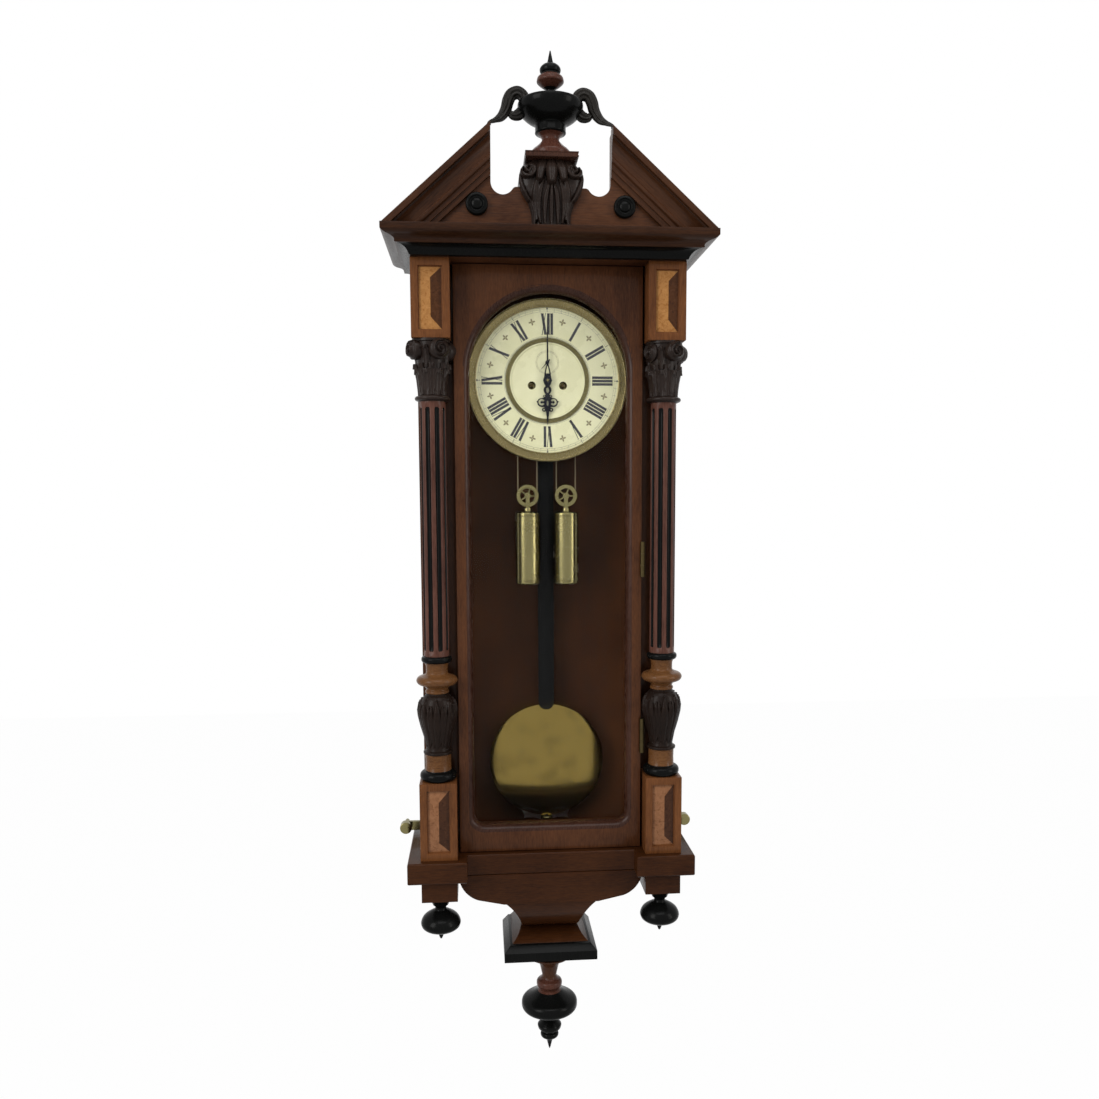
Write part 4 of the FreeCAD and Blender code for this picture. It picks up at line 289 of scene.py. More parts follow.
dark_carving = wood("carved_wood_dark", (0.0055, 0.0046, 0.0038), (0.0130, 0.0110, 0.0090),
                    (0.0230, 0.0200, 0.0165), grain="z", gloss=0.34)
backing = wood("back_panel", (0.0140, 0.0042, 0.0014), (0.0500, 0.0165, 0.0052),
               (0.0820, 0.0300, 0.0105), grain="z", gloss=0.42, sheen=0.6)
shaft_wood = wood("column_wood", (0.032, 0.0112, 0.0078), (0.095, 0.0370, 0.0255),
                  (0.152, 0.0650, 0.0460), grain="z", gloss=0.3)

print("woods:", len(bpy.data.materials))

# %% [markdown]
# ### Burr veneer
#
# The lozenges are cut from burr, which has eyes and clouds but no grain. Noise
# that twists its own place gives the swirl, and a cell pattern gives the eyes.
# Each burr comes in a lit copy and a darker copy: painted light for the left facets of a lozenge and
# painted shade for the right ones, as the light from the left falls on them.



# %% Burr
def burr(name, dark, middle, light):
    """Burr veneer: swirling eyes and clouds with no straight grain."""
    item, bsdf, here = material(name, **POLISH)
    swirl = here.noise(55.0, 4.0, 0.6, output=1)
    twisted = here.moved(swirl, 0.03)
    cloud = twisted.noise(70.0, 6.0, 0.65, 1.6)
    eyes = twisted.node("TexVoronoi", Vector=twisted, Scale=190.0, Randomness=1.0)
    ring = eyes.span(0.05, 0.45)
    shade = cloud.span(0.20, 0.62).mix(dark, middle)
    colour = ((ring * cloud).span(0.10, 0.60) * 0.8).mix(shade, light)
    here.feed(bsdf.inputs["Base Color"], colour)
    here.feed(bsdf.inputs["Roughness"], cloud.span(0.2, 0.8, 0.2, 0.32))
    bumps(here, bsdf, cloud, 0.00008)
    return item


# Each pair is one burr in a lit and a darker copy: painted light for the left slopes of a lozenge and
# painted shade for the right ones.
burr_gold = burr("burr_gold", (0.190, 0.0680, 0.0150), (0.330, 0.1350, 0.0330),
                 (0.480, 0.2350, 0.0780))
burr_gold_painted_shade = burr("burr_gold_painted_shade", (0.022, 0.0075, 0.0028), (0.050, 0.0170, 0.0058),
                      (0.088, 0.0320, 0.0110))
burr_pink = burr("burr_pink", (0.120, 0.0460, 0.0190), (0.225, 0.0930, 0.0400),
                 (0.320, 0.1500, 0.0720))
burr_pink_painted_shade = burr("burr_pink_painted_shade", (0.018, 0.0060, 0.0026), (0.042, 0.0150, 0.0062),
                      (0.072, 0.0280, 0.0125))

# %% [markdown]
# ## Metal
#
# The brass is lacquered and old: bright where it is rubbed, dull in patches, with lathe marks round it. On
# the bob the dull patches are painted reflection of the room as well. The hands are blued steel, the beat
# scale plain steel, and hinges and drums have gone brown.



# %% Metal
def metal(name, colour, tarnish_and_reflection_tone, rough, polish=0.0):
    """Cast or turned metal with faint lathe marks and dull tarnished patches; on the bob these patches are
    painted reflection of the room as well.
    """
    item, bsdf, here = material(name, Metallic=1.0)
    patch = here.noise(38.0, 5.0, 0.6)
    marks = here.stretched(30, 30, 2).noise(60.0, 3.0)
    # Dull patches: tarnished brass, and on the bob also painted reflection of the room.
    tarnish_and_painted_reflection = patch.span(0.50, 0.82)
    here.feed(bsdf.inputs["Base Color"], (tarnish_and_painted_reflection * 0.7).mix(colour, tarnish_and_reflection_tone))
    dull = tarnish_and_painted_reflection * 0.16 + marks.span(0.3, 0.7, rough - polish, rough + 0.06)
    here.feed(bsdf.inputs["Roughness"], dull)
    bumps(here, bsdf, marks, 0.00002)
    return item


brass = metal("brass", (0.200, 0.176, 0.079), (0.110, 0.092, 0.041), 0.2)
# On the bob the darker second colour is painted reflection of the room as well as tarnished brass.
bob_brass = metal("bob_brass", (0.205, 0.148, 0.040), (0.075, 0.052, 0.016), 0.13)
bezel_brass = metal("bezel_brass", (0.200, 0.163, 0.073), (0.125, 0.100, 0.046), 0.24)
ring_brass = metal("ring_brass", (0.125, 0.110, 0.050), (0.078, 0.068, 0.034), 0.36)
aged_brass = metal("aged_brass", (0.060, 0.045, 0.020), (0.032, 0.024, 0.012), 0.42)
steel = metal("steel", (0.42, 0.42, 0.43), (0.22, 0.21, 0.20), 0.3)
blued = metal("blued_steel", (0.020, 0.021, 0.026), (0.010, 0.010, 0.012), 0.28)

# %% [markdown]
# ### Enamel, ink, iron and gut
#
# A dial is glass fired on copper: cream, slightly cloudy, with a few specks. The
# ink sits in its glaze. Gut is twisted, so a wave runs along it.



# %% Enamel and ink
def mottled(name, low, high, scale, rough_scale, rough, **shader):
    """A plain surface with a fine mottle in its colour and its gloss."""
    item, bsdf, here = material(name, **shader)
    here.feed(bsdf.inputs["Base Color"], here.noise(scale).mix(low, high))
    here.feed(bsdf.inputs["Roughness"], here.noise(rough_scale).span(0, 1, *rough))
    return item, bsdf, here


GLAZE = {"Coat_Weight": 0.5, "Coat_Roughness": 0.1}
iron, iron_bsdf, iron_here = mottled("black_iron", (0.012, 0.012, 0.013), (0.035, 0.033, 0.032),
                                     90.0, 220.0, (0.4, 0.65), Metallic=0.6)
bumps(iron_here, iron_bsdf, iron_here.noise(420.0, 5.0), 0.0002)
ink = mottled("dial_ink", (0.006, 0.006, 0.008), (0.022, 0.022, 0.026), 900.0, 300.0,
              (0.3, 0.5), **GLAZE)[0]
olive = mottled("dial_ring", (0.17, 0.145, 0.065), (0.26, 0.22, 0.105), 120.0, 80.0,
                (0.3, 0.45), **GLAZE)[0]

enamel, enamel_bsdf, enamel_here = material("enamel", Coat_Weight=0.6, Coat_Roughness=0.06)
cloud = enamel_here.noise(26.0, 4.0)
specks = enamel_here.noise(520.0, 2.0).span(0.70, 0.80)
cream = cloud.span(0.3, 0.7).mix((0.74, 0.73, 0.44), (0.84, 0.83, 0.54))
enamel_here.feed(enamel_bsdf.inputs["Base Color"],
                 (specks * 0.35).mix(cream, (0.36, 0.31, 0.20)))
enamel_here.feed(enamel_bsdf.inputs["Roughness"], cloud.span(0.2, 0.8, 0.22, 0.34))

gut, gut_bsdf, gut_here = material("gut")
twist = gut_here.node("TexWave", Vector=gut_here.stretched(1, 1, 1), Scale=900.0,
                      Distortion=3.0)
gut_here.feed(gut_bsdf.inputs["Base Color"],
              twist.mix((0.20, 0.15, 0.08), (0.45, 0.36, 0.21)))
gut_here.feed(gut_bsdf.inputs["Roughness"], twist.span(0, 1, 0.45, 0.65))

print("materials so far:", len(bpy.data.materials))

# %% [markdown]
# ### Glass
#
# Old window glass is clear with a slight smear. Most of it lets light straight
# through, so that the inside of the case is lit, and a small share still
# mirrors the room.



# %% Glass
def pane(name, tint):
    """Clear glass that lets light through to what stands behind it."""
    item, bsdf, here = material(name, Transmission_Weight=1.0, IOR=1.45)
    smear = here.stretched(1, 1, 0.5).noise(9.0, 5.0)
    here.feed(bsdf.inputs["Roughness"], smear.span(0.35, 0.75, 0.0, 0.05))
    here.feed(bsdf.inputs["Base Color"], smear.mix(tint, tuple(v * 0.97 for v in tint)))
    rays = item.node_tree.nodes.new("ShaderNodeLightPath")
    shadow = Flow(item.node_tree, rays.outputs["Is Shadow Ray"])
    diffuse = Flow(item.node_tree, rays.outputs["Is Diffuse Ray"])
    clear = here.node("BsdfTransparent")
    tree = item.node_tree
    blend = tree.nodes.new("ShaderNodeMixShader")
    here.feed(blend.inputs[0], (shadow + diffuse + 0.95).clamp())
    tree.links.new(bsdf.outputs[0], blend.inputs[1])
    here.feed(blend.inputs[2], clear)
    tree.links.new(blend.outputs[0], tree.nodes["Material Output"].inputs["Surface"])
    return item


glass = pane("window_glass", (0.93, 0.95, 0.94))

# %% [markdown]
# ## Placing a piece
#
# Every piece is a mesh that rides on one body, wears one or more materials and
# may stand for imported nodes. Most surfaces are rings of points joined row by
# row, so one function makes those faces for all of them.

# %% Placing pieces
body_of = {n: b for b, group in frame["record"]["behaviour"]["bodies"].items() for n in group}
slot_of = {p["node"]: p["material_slot"] for p in frame["record"]["subparts"]}


def put(name, mesh, body, looks, replaced=()):
    """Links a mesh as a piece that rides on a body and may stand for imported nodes."""
    mesh.materials.clear()
    for look in looks if isinstance(looks, (list, tuple)) else [looks]:
        mesh.materials.append(look)
    item = bpy.data.objects.new(name, mesh)
    bpy.context.scene.collection.objects.link(item)
    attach(item, body)
    if replaced:
        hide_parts(*replaced)
    return item


def joined_rings(rows, around, start=0, closed=True):
    """The quads between each ring of points and the next one."""
    faces = []
    for row in range(rows):
        base = start + row * around
        for step in range(around if closed else around - 1):
            after = (step + 1) % around
            faces.append((base + step, base + after, base + around + after, base + around + step))
    return faces


def add(name, verts, faces, body, look, replaced=(), smooth=40.0):
    """A mesh piece from points and faces, smooth up to an angle in degrees."""
    mesh = bpy.data.meshes.new(name)
    mesh.from_pydata([tuple(v) for v in verts], [], faces)
    bm = bmesh.new()
    bm.from_mesh(mesh)
    bmesh.ops.remove_doubles(bm, verts=bm.verts, dist=1e-6)
    bmesh.ops.recalc_face_normals(bm, faces=bm.faces)
    bm.to_mesh(mesh)
    bm.free()
    mesh.shade_smooth()
    mesh.set_sharp_from_angle(angle=math.radians(smooth))
    return put(name, mesh, body, look, replaced)

# %% [markdown]
# ### Lathe
#
# Turned work is a profile spun round an axis. Beads and hollows are arcs, so a
# profile is a list of corners with a bulge between them, as a turner reads a
# drawing. Zones change the wood along one turning, where the real one is built
# up from stained and plain parts.



# %% Lathe
def rounded(points, steps=7):
    """Draws each (x, y, bulge) corner as an arc from the one before it.

    The bulge is the arc's sag over half its chord: 0 is straight, 1 a half circle,
    and a positive one swells to the right of the way travelled.
    """
    out = [Vector(points[0][:2])]
    for point in points[1:]:
        start = out[-1]
        end = Vector(point[:2])
        bulge = point[2] if len(point) > 2 else 0
        if bulge == 0:
            out.append(end)
            continue
        chord = end - start
        half = chord.length / 2
        sag = abs(bulge) * half
        radius = (half * half + sag * sag) / (2 * sag)
        side = Vector((chord.y, -chord.x)).normalized() * (1 if bulge > 0 else -1)
        centre = start + chord / 2 + side * (sag - radius)
        first = math.atan2(*(start - centre).yx)
        turn = math.atan2(*(end - centre).yx) - first
        full = 4 * math.atan(abs(bulge)) * (1 if bulge > 0 else -1)
        turn = full if abs(abs(turn) - abs(full)) < 0.02 else turn
        if turn * full < 0:
            turn += math.tau * (1 if full > 0 else -1)
        for step in range(1, steps + 1):
            angle = first + turn * step / steps
            out.append(centre + Vector((math.cos(angle), math.sin(angle))) * radius)
    return out


def lathe(name, profile, centre, body, look, axis="z", replaced=(), segments=72, zones=()):
    """Turns a (radius, height) profile. Zones change the material above given heights."""
    points = rounded([(p[0] * MM, p[1] * MM, *p[2:]) for p in profile])
    verts = []
    for radius, height in points:
        for step in range(segments):
            angle = math.tau * step / segments
            flat = (radius * math.cos(angle), radius * math.sin(angle))
            if axis == "z":
                verts.append(centre + Vector((flat[0], flat[1], height)))
            else:
                verts.append(centre + Vector((flat[0], -height, flat[1])))
    faces = joined_rings(len(points) - 1, segments)
    looks = [look] + [zone[1] for zone in zones]
    item = add(name, verts, faces, body, looks, replaced)
    for face in item.data.polygons:
        level = (face.center - centre).z / MM if axis == "z" else -(face.center - centre).y / MM
        for number, (height, _) in enumerate(zones, 1):
            if level > height:
                face.material_index = number
    return item

# %% [markdown]
# ### Eased boards
#
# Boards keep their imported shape, but no hand leaves an edge razor sharp. The
# copy is cleaned, its sharp edges get a narrow two-step bevel, and its faces can
# be sorted between materials.



# %% Eased boards
def softened(node, look, width=0.7, looks_by=None):
    """The node's own solid with its sharp edges eased, as hand work leaves them."""
    mesh = nodes[node].data.copy()
    bm = bmesh.new()
    bm.from_mesh(mesh)
    bmesh.ops.remove_doubles(bm, verts=bm.verts, dist=2e-6)
    bmesh.ops.dissolve_limit(bm, angle_limit=math.radians(1.0), verts=bm.verts, edges=bm.edges)
    sharp = [e for e in bm.edges if len(e.link_faces) == 2 and e.calc_face_angle(0) > 0.6]
    bmesh.ops.bevel(bm, geom=sharp, offset=width * MM, segments=2, profile=0.6,
                    affect="EDGES", clamp_overlap=True)
    bm.to_mesh(mesh)
    bm.free()
    item = put(node + "_eased", mesh, body_of[node], look, (node,))
    for face in mesh.polygons:
        face.material_index = looks_by(mesh, face) if looks_by else 0
    mesh.shade_smooth()
    mesh.set_sharp_from_angle(angle=math.radians(30))
    return item

# %% [markdown]
# ### Flat pieces
#
# Hands, spokes and plates are sawn from sheet: an outline with holes, a
# thickness and a slight chamfer. Outlines on the dial are drawn outwards from
# its centre, at a clock angle.



# %% Flat pieces
def cutout(name, loops, depth, thick, body, look, centre=(0, DIAL_Z), bevel=0.0,
           replaced=(), holes=()):
    """A flat piece cut to an outline that faces forward, given in mm about a centre."""
    curve = bpy.data.curves.new(name, "CURVE")
    curve.dimensions = "2D"
    curve.fill_mode = "BOTH"
    curve.extrude = (thick / 2 - bevel) * MM
    curve.bevel_depth = bevel * MM
    curve.offset = -bevel * MM
    curve.bevel_resolution = 1
    for loop in list(loops) + list(holes):
        spline = curve.splines.new("POLY")
        spline.points.add(len(loop) - 1)
        for point, (x, z) in zip(spline.points, loop):
            point.co = (x * MM, z * MM, 0, 1)
        spline.use_cyclic_u = True
    shape = bpy.data.objects.new(name, curve)
    mesh = bpy.data.meshes.new_from_object(shape)
    bpy.data.objects.remove(shape)
    up = Matrix.Translation(place(centre[0], (depth - thick / 2) * MM, centre[1]))
    mesh.transform(up @ Matrix.Rotation(math.pi / 2, 4, "X"))
    return put(name, mesh, body, look, replaced)


def disc(x, z, radius, steps=32):
    return [(x + radius * math.cos(math.tau * s / steps),
             z + radius * math.sin(math.tau * s / steps)) for s in range(steps)]


def polar(radius, across, degrees):
    """A point out from the centre and to the right of a line turned clockwise from up."""
    a = math.radians(degrees)
    return (across * math.cos(a) + radius * math.sin(a),
            radius * math.cos(a) - across * math.sin(a))

# %% [markdown]
# ## Case woodwork
#
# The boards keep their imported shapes, with eased edges and their grain turned to
# run along each board: upright in the sides, level in the ledge and apron.

# %% Case boards
BOARDS = {
    "sides": walnut["z"], "face_frame": walnut["z"], "top_board": walnut["x"],
    "tympanum": walnut["x"], "ledge": deep, "under_blocks": deep,
    "pedestal": deep, "apron": deep,
}
for node, look in BOARDS.items():
    softened(node, look)
nodes["backboard"].data.materials[0] = backing

print("boards eased:", len(BOARDS))

# %% [markdown]
# ## Turnings
#
# The column bases, read upwards: an ebonised torus, a golden drum, a carved
# vase, a golden bun between black fillets and a black collar. On the real clock
# each is one turning with stained bands, so each is one lathe profile.

# %% Column bases
for side, word in SIDES:
    foot = place(COLUMN_X * side, COLUMN_DEPTH, BASE_FOOT)
    lathe("column_base_" + word, [
        (0, 0), (17, 0), (23.4, 6.2, 0.45), (17.2, 12.6, 0.45), (16.6, 13.6), (16.2, 24),
        (16.4, 34.0, 0.02), (17.4, 34.8), (18.4, 36.6, 0.5), (17.6, 38.6, 0.5), (15.4, 39.4),
        (14.6, 43), (14.8, 56, -0.08), (21.4, 84, -0.06), (22.2, 92, 0.1), (20.6, 102, 0.16),
        (14.6, 111.6, 0.16), (13.8, 113.2), (14.9, 115.3, 0.5), (13.8, 117.4, 0.5), (13.5, 118.4),
        (15.9, 121.6, -0.1), (19.8, 123.6), (26.2, 129.8, 0.36), (19.8, 135.6, 0.36),
        (15.7, 137.4), (13.7, 140.4, -0.3), (13.9, 148.5, -0.04), (15.0, 152.2), (19.4, 156.8, 0.45),
        (15.8, 160.8, 0.45), (0, 160.9),
    ], foot, "case", ebony, replaced=("column_bases",), zones=(
        (13.4, golden), (34.6, vase_wood), (112.6, golden), (152.0, ebony)))

# %% [markdown]
# ### Urn, pendant and drops
#
# The urn's foot is a hollow cone, its bowl is wide and shut, and a russet ball
# and a spike stand on the lid. The pendant under the case is its mirror in
# spirit. The drops and roundels are small dark turnings, the roundels turned
# with their axis towards the viewer.

# %% Urn and pendant
lathe("urn_turning", [
    (0, 0), (24, 0), (24, 3.4), (22.8, 6.4, 0.2), (20.6, 8.8), (11.2, 17.4, -0.06),
    (10.3, 19.5, -0.1), (12.2, 24.0, -0.2), (15.5, 26.4), (17.5, 26.8), (18.1, 28.6, 0.5),
    (18.1, 34.6), (17.6, 36.4), (20.0, 38.2, -0.12), (33.0, 46.5, 0.12), (38.4, 55.5, 0.18),
    (38.5, 58.8, 0.1), (36.8, 61.4, 0.3), (20, 65.2, 0.06), (8.2, 67.4), (4.6, 67.8), (4.3, 76),
    (6.5, 77.6), (14.5, 83.3, 0.1), (15.7, 87, 0.4),
    (13.2, 91.3, 0.3), (10.6, 93.0), (10.4, 94.8), (12.1, 96.7, 0.3), (11.5, 101.2, 0.25),
    (6.0, 105.2, 0.15), (3.8, 106.4, -0.2), (2.2, 113.2, -0.05), (0.8, 119.7, -0.03),
    (0, 120.6, 0.2),
], place(0, 152 * MM, URN_SEAT), "case", russet, replaced=("urn",), zones=(
    (26.4, ebony), (78.2, russet), (92.9, ebony)))

lathe("bottom_turning", [
    (0, 0), (30, 0), (29.5, -2.5, -0.3), (12.5, -17.5, 0.32), (9.7, -30), (10.5, -33.5),
    (14.0, -36.5), (17.3, -42, -0.4), (14.5, -47.5, -0.35), (13.8, -50.5), (16, -52.5),
    (33, -62, 0.06), (38, -70.5, -0.36), (33, -79.5, -0.36), (13, -88.5), (8.4, -91.5),
    (9.5, -94, 0.2), (15.5, -101), (16, -104.5, -0.35), (13, -109.0, -0.3), (8.6, -111),
    (9.5, -112.5), (12.4, -116.3, -0.4), (9.6, -120.5, -0.3), (5.6, -123.5), (3.5, -127.0, 0.1),
    (1.6, -134.5), (0, -138.6, -0.1),
], place(0, 70 * MM, TAIL_TOP), "case", ebony, replaced=("bottom_finial",),
      zones=((-90, ebony), (-51.5, russet), (-35, walnut["z"])))

# %% Drops and roundels
for side, word in SIDES:
    lathe("drop_turning_" + word, [
        (0, 0), (17.5, 0), (16.8, -2.0, -0.3), (10.2, -11.4, 0.14), (7.1, -14.6, 0.1),
        (8.4, -18.4, 0.2), (16.0, -22.6, -0.04), (22.4, -27.4, -0.08), (25.9, -35.4, -0.14),
        (24.4, -40.6, -0.12), (20.2, -44.0, -0.1), (13.6, -46.6, -0.04), (6.4, -49.0, 0.04),
        (4.2, -50.8, 0.1), (2.7, -54.4, 0.04), (1.5, -57.4), (0, -58.4, -0.3),
    ], place(COLUMN_X * side, 111.65 * MM, UNDER_FOOT), "case", ebony,
          replaced=("drop_finials",))
    lathe("roundel_" + word, [
        (0, 0), (13, 0), (13, 3, 0.1), (11.6, 5.6, 0.3), (9.3, 5.8), (8.2, 4.3, -0.3),
        (7.0, 4.2), (4.5, 6.4, 0.2), (0, 7.0, 0.15),
    ], place(87.5 * MM * side, 157 * MM, ROUNDEL_Z), "case", ebony,
          axis="y", replaced=("roundels",))

# %% [markdown]
# ## Columns
#
# Each shaft is a polished cylinder with round-bottomed flutes that are stained
# black and fade out before the ends, as a scratch stock leaves them. The depth
# of a flute is part of a circle, both across it and at its ends.

# %% Columns
shaft_low, shaft_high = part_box("shafts")
FLUTE_COUNT = 8
FLUTE_SHARE = 0.52
FLUTE_STEPS = 16
FLUTE_ENDS = (6 * MM, 9 * MM)


def fluted(name, centre, low, high, radius, groove, body, looks, replaced=()):
    """A column with grooves that fade out in round ends above and below."""
    plain, fade = FLUTE_ENDS
    runs = [plain + fade * step / 8 for step in range(9)]
    levels = [low] + [low + run for run in runs] + [high - run for run in reversed(runs)] + [high]
    around = FLUTE_COUNT * FLUTE_STEPS
    verts = []
    for level in levels:
        near = min(level - low, high - level)
        share = min(max((near - plain) / fade, 0), 1)
        depth = math.sqrt(1 - (1 - share) ** 2)
        for step in range(around):
            angle = math.tau * step / around
            wave = abs((step % FLUTE_STEPS) / FLUTE_STEPS * 2 - 1) / FLUTE_SHARE
            cut = math.sqrt(1 - wave ** 2) if wave < 1 else 0
            r = (radius - groove * cut * depth) * MM
            verts.append(centre + Vector((r * math.sin(angle), -r * math.cos(angle), level)))
    faces = joined_rings(len(levels) - 1, around)
    item = add(name, verts, faces, body, looks, replaced, smooth=50)
    for face in item.data.polygons:
        out = (face.center - centre).to_2d().length
        face.material_index = 1 if out < (radius - groove * 0.3) * MM else 0
    return item


for side, word in SIDES:
    fluted("shaft_" + word, place(COLUMN_X * side, COLUMN_DEPTH, 0), shaft_low.z, shaft_high.z,
           15.95, 2.6, "case", [shaft_wood, ebony], replaced=("shafts",))

# %% [markdown]
# ### Carved leaves
#
# A leaf is a height map: each frond is a curved spine with a ridge along it,
# and the surface takes the highest frond at every point. The map is then laid
# over a plane or wrapped round a turned body, as a carver works a leaf into a
# blank that is already turned.



# %% Carving
def frond(start, bend, end, half, rise, samples=26, blunt=0.0):
    """A leaf lobe: points along a curved spine with its half width and height there."""
    start, bend, end = Vector(start), Vector(bend), Vector(end)
    out = []
    for step in range(samples + 1):
        t = step / samples
        point = start * (1 - t) ** 2 + bend * 2 * t * (1 - t) + end * t * t
        swell = math.sin(math.pi * min(t * (0.88 - blunt) + 0.10, 1.0)) ** 0.7
        out.append((point.x, point.y, half * swell, rise * (0.55 + 0.45 * t)))
    return np.array(out)


def curl(x, y, radius, turns, start, hand, half, rise, samples=60):
    """A ridge that winds in to an eye, for the same relief."""
    out = []
    for step in range(samples + 1):
        t = step / samples
        reach = radius * (1 - 0.86 * t)
        angle = start + hand * turns * math.tau * t
        out.append((x + reach * math.cos(angle), y + reach * math.sin(angle),
                    half * (1 - 0.35 * t), rise))
    return np.array(out)


def relief(u, v, fronds, vein=0.18):
    """The height at each (u, v): the highest of the fronds, with a groove down each."""
    top = np.zeros_like(u)
    for spine in fronds:
        best = np.full(u.shape, 1e9)
        height = np.zeros_like(u)
        for x, y, half, rise in spine:
            if half <= 1e-6:
                continue
            ratio = np.hypot(u - x, v - y) / half
            level = rise * np.sqrt(np.clip(1 - ratio ** 2, 0, 1))
            level -= rise * vein * np.exp(-(ratio / 0.22) ** 2)
            height = np.where(ratio < best, level, height)
            best = np.minimum(ratio, best)
        top = np.maximum(top, height)
    return top


def both_ways(*lobes):
    """Each lobe and its mirror image."""
    out = []
    for start, bend, end, half, rise, blunt in lobes:
        for side in (-1, 1):
            out.append(frond((start[0] * side, start[1]), (bend[0] * side, bend[1]),
                             (end[0] * side, end[1]), half, rise, blunt=blunt))
    return out


def wrapped(name, fronds, count, centre, low, high, ground, body, look, grid=(320, 72)):
    """Repeats a relief round a turned body; ground(z) is the body's radius there."""
    pitch = math.tau * ground((low + high) / 2) / count
    us = np.linspace(0, 1, grid[0], endpoint=False)
    u, v = np.meshgrid(us, np.linspace(low, high, grid[1]))
    local = ((u * count + 0.5) % 1.0 - 0.5) * pitch
    height = np.zeros_like(u)
    for shift in (-pitch, 0, pitch):
        height = np.maximum(height, relief(local + shift, v, fronds))
    verts = []
    for a, b, h in zip(u.ravel(), v.ravel(), height.ravel()):
        r = (ground(b) + h) * MM
        verts.append(centre + Vector((r * math.sin(math.tau * a), -r * math.cos(math.tau * a),
                                      b * MM)))
    faces = joined_rings(grid[1] - 1, grid[0])
    return add(name, verts, faces, body, look, smooth=60)

# %% [markdown]
# ### Leaves on the vases
#
# Eight leaves stand round each vase, with a narrow one between them. They are
# carved into the vase, so the ground is cut back from its turned outline.

# %% Vase leaves
VASE_CUT = 1.9
VASE_OUT = [(43, 14.9), (56, 17.0), (70, 20.8), (84, 23.8), (92, 24.4), (102, 22.4), (108, 18.4),
            (111.5, 14.9)]


def vase_out(v):
    """The radius of the vase under its leaves."""
    return float(np.interp(v, [p[0] for p in VASE_OUT], [p[1] - VASE_CUT for p in VASE_OUT]))


vase_leaf = [frond((0, 42), (0, 70), (0, 110), 5.0, 4.2),
             frond((9.2, 42), (9.2, 62), (9.2, 92), 3.6, 3.2)]
vase_leaf += both_ways(((3, 46), (8, 62), (6.6, 82), 2.7, 2.9, 0.1),
                       ((2, 62), (7, 80), (6.4, 99), 2.6, 3.2, 0.1))
for side, word in SIDES:
    wrapped("vase_leaves_" + word, vase_leaf, 8, place(COLUMN_X * side, COLUMN_DEPTH, BASE_FOOT),
            42.0, 111.4, vase_out, "case", vase_wood)

# %% [markdown]
# ### Scroll bosses
#
# A volute is a round boss whose face carries a ridge winding in to an eye. The
# lap that a point lies on follows from its angle, so one pass over the disc
# shapes the whole scroll.



# %% Scroll bosses
def snail(name, centre, out, radius, deep, dome, start, hand, body, look, rise=3.6,
          turns=1.6):
    """A scroll boss: a round boss whose domed face carries a ridge winding in to an eye."""
    across = Vector((-out.y, out.x, 0))
    rings, around = 26, 72
    verts = []
    for row in range(rings + 3):
        share = min(row / rings, 1.0)
        for step in range(around):
            angle = math.tau * step / around
            ridge = 0.8 * math.exp(-(share / 0.13) ** 2)
            for lap in range(3):
                t = ((hand * angle - start) / math.tau % 1.0 + lap) / turns
                if t < 1:
                    ridge = max(ridge, math.exp(-((share - 0.88 + 0.66 * t) / 0.10) ** 2))
            level = dome * (1 - share ** 2.4) + rise * ridge * (1 - share ** 14)
            if row > rings:
                level = -deep * (row - rings) / 2
            r = radius * share
            verts.append(centre + across * (r * math.cos(angle) * MM)
                         + Vector((0, 0, r * math.sin(angle) * MM)) + out * (level * MM))
    faces = joined_rings(rings + 2, around)
    faces.append(tuple((rings + 2) * around + step for step in range(around)))
    return add(name, verts, faces, body, look, smooth=60)

# %% [markdown]
# ### Capitals
#
# Each capital is a bell between a black ring and a slab, with two rows of
# leaves, four tall ones at the faces and a volute under each corner. It is
# turned a little on its column, as in the photograph. The volute beside the
# door's swing is set further in, so that the door clears it.

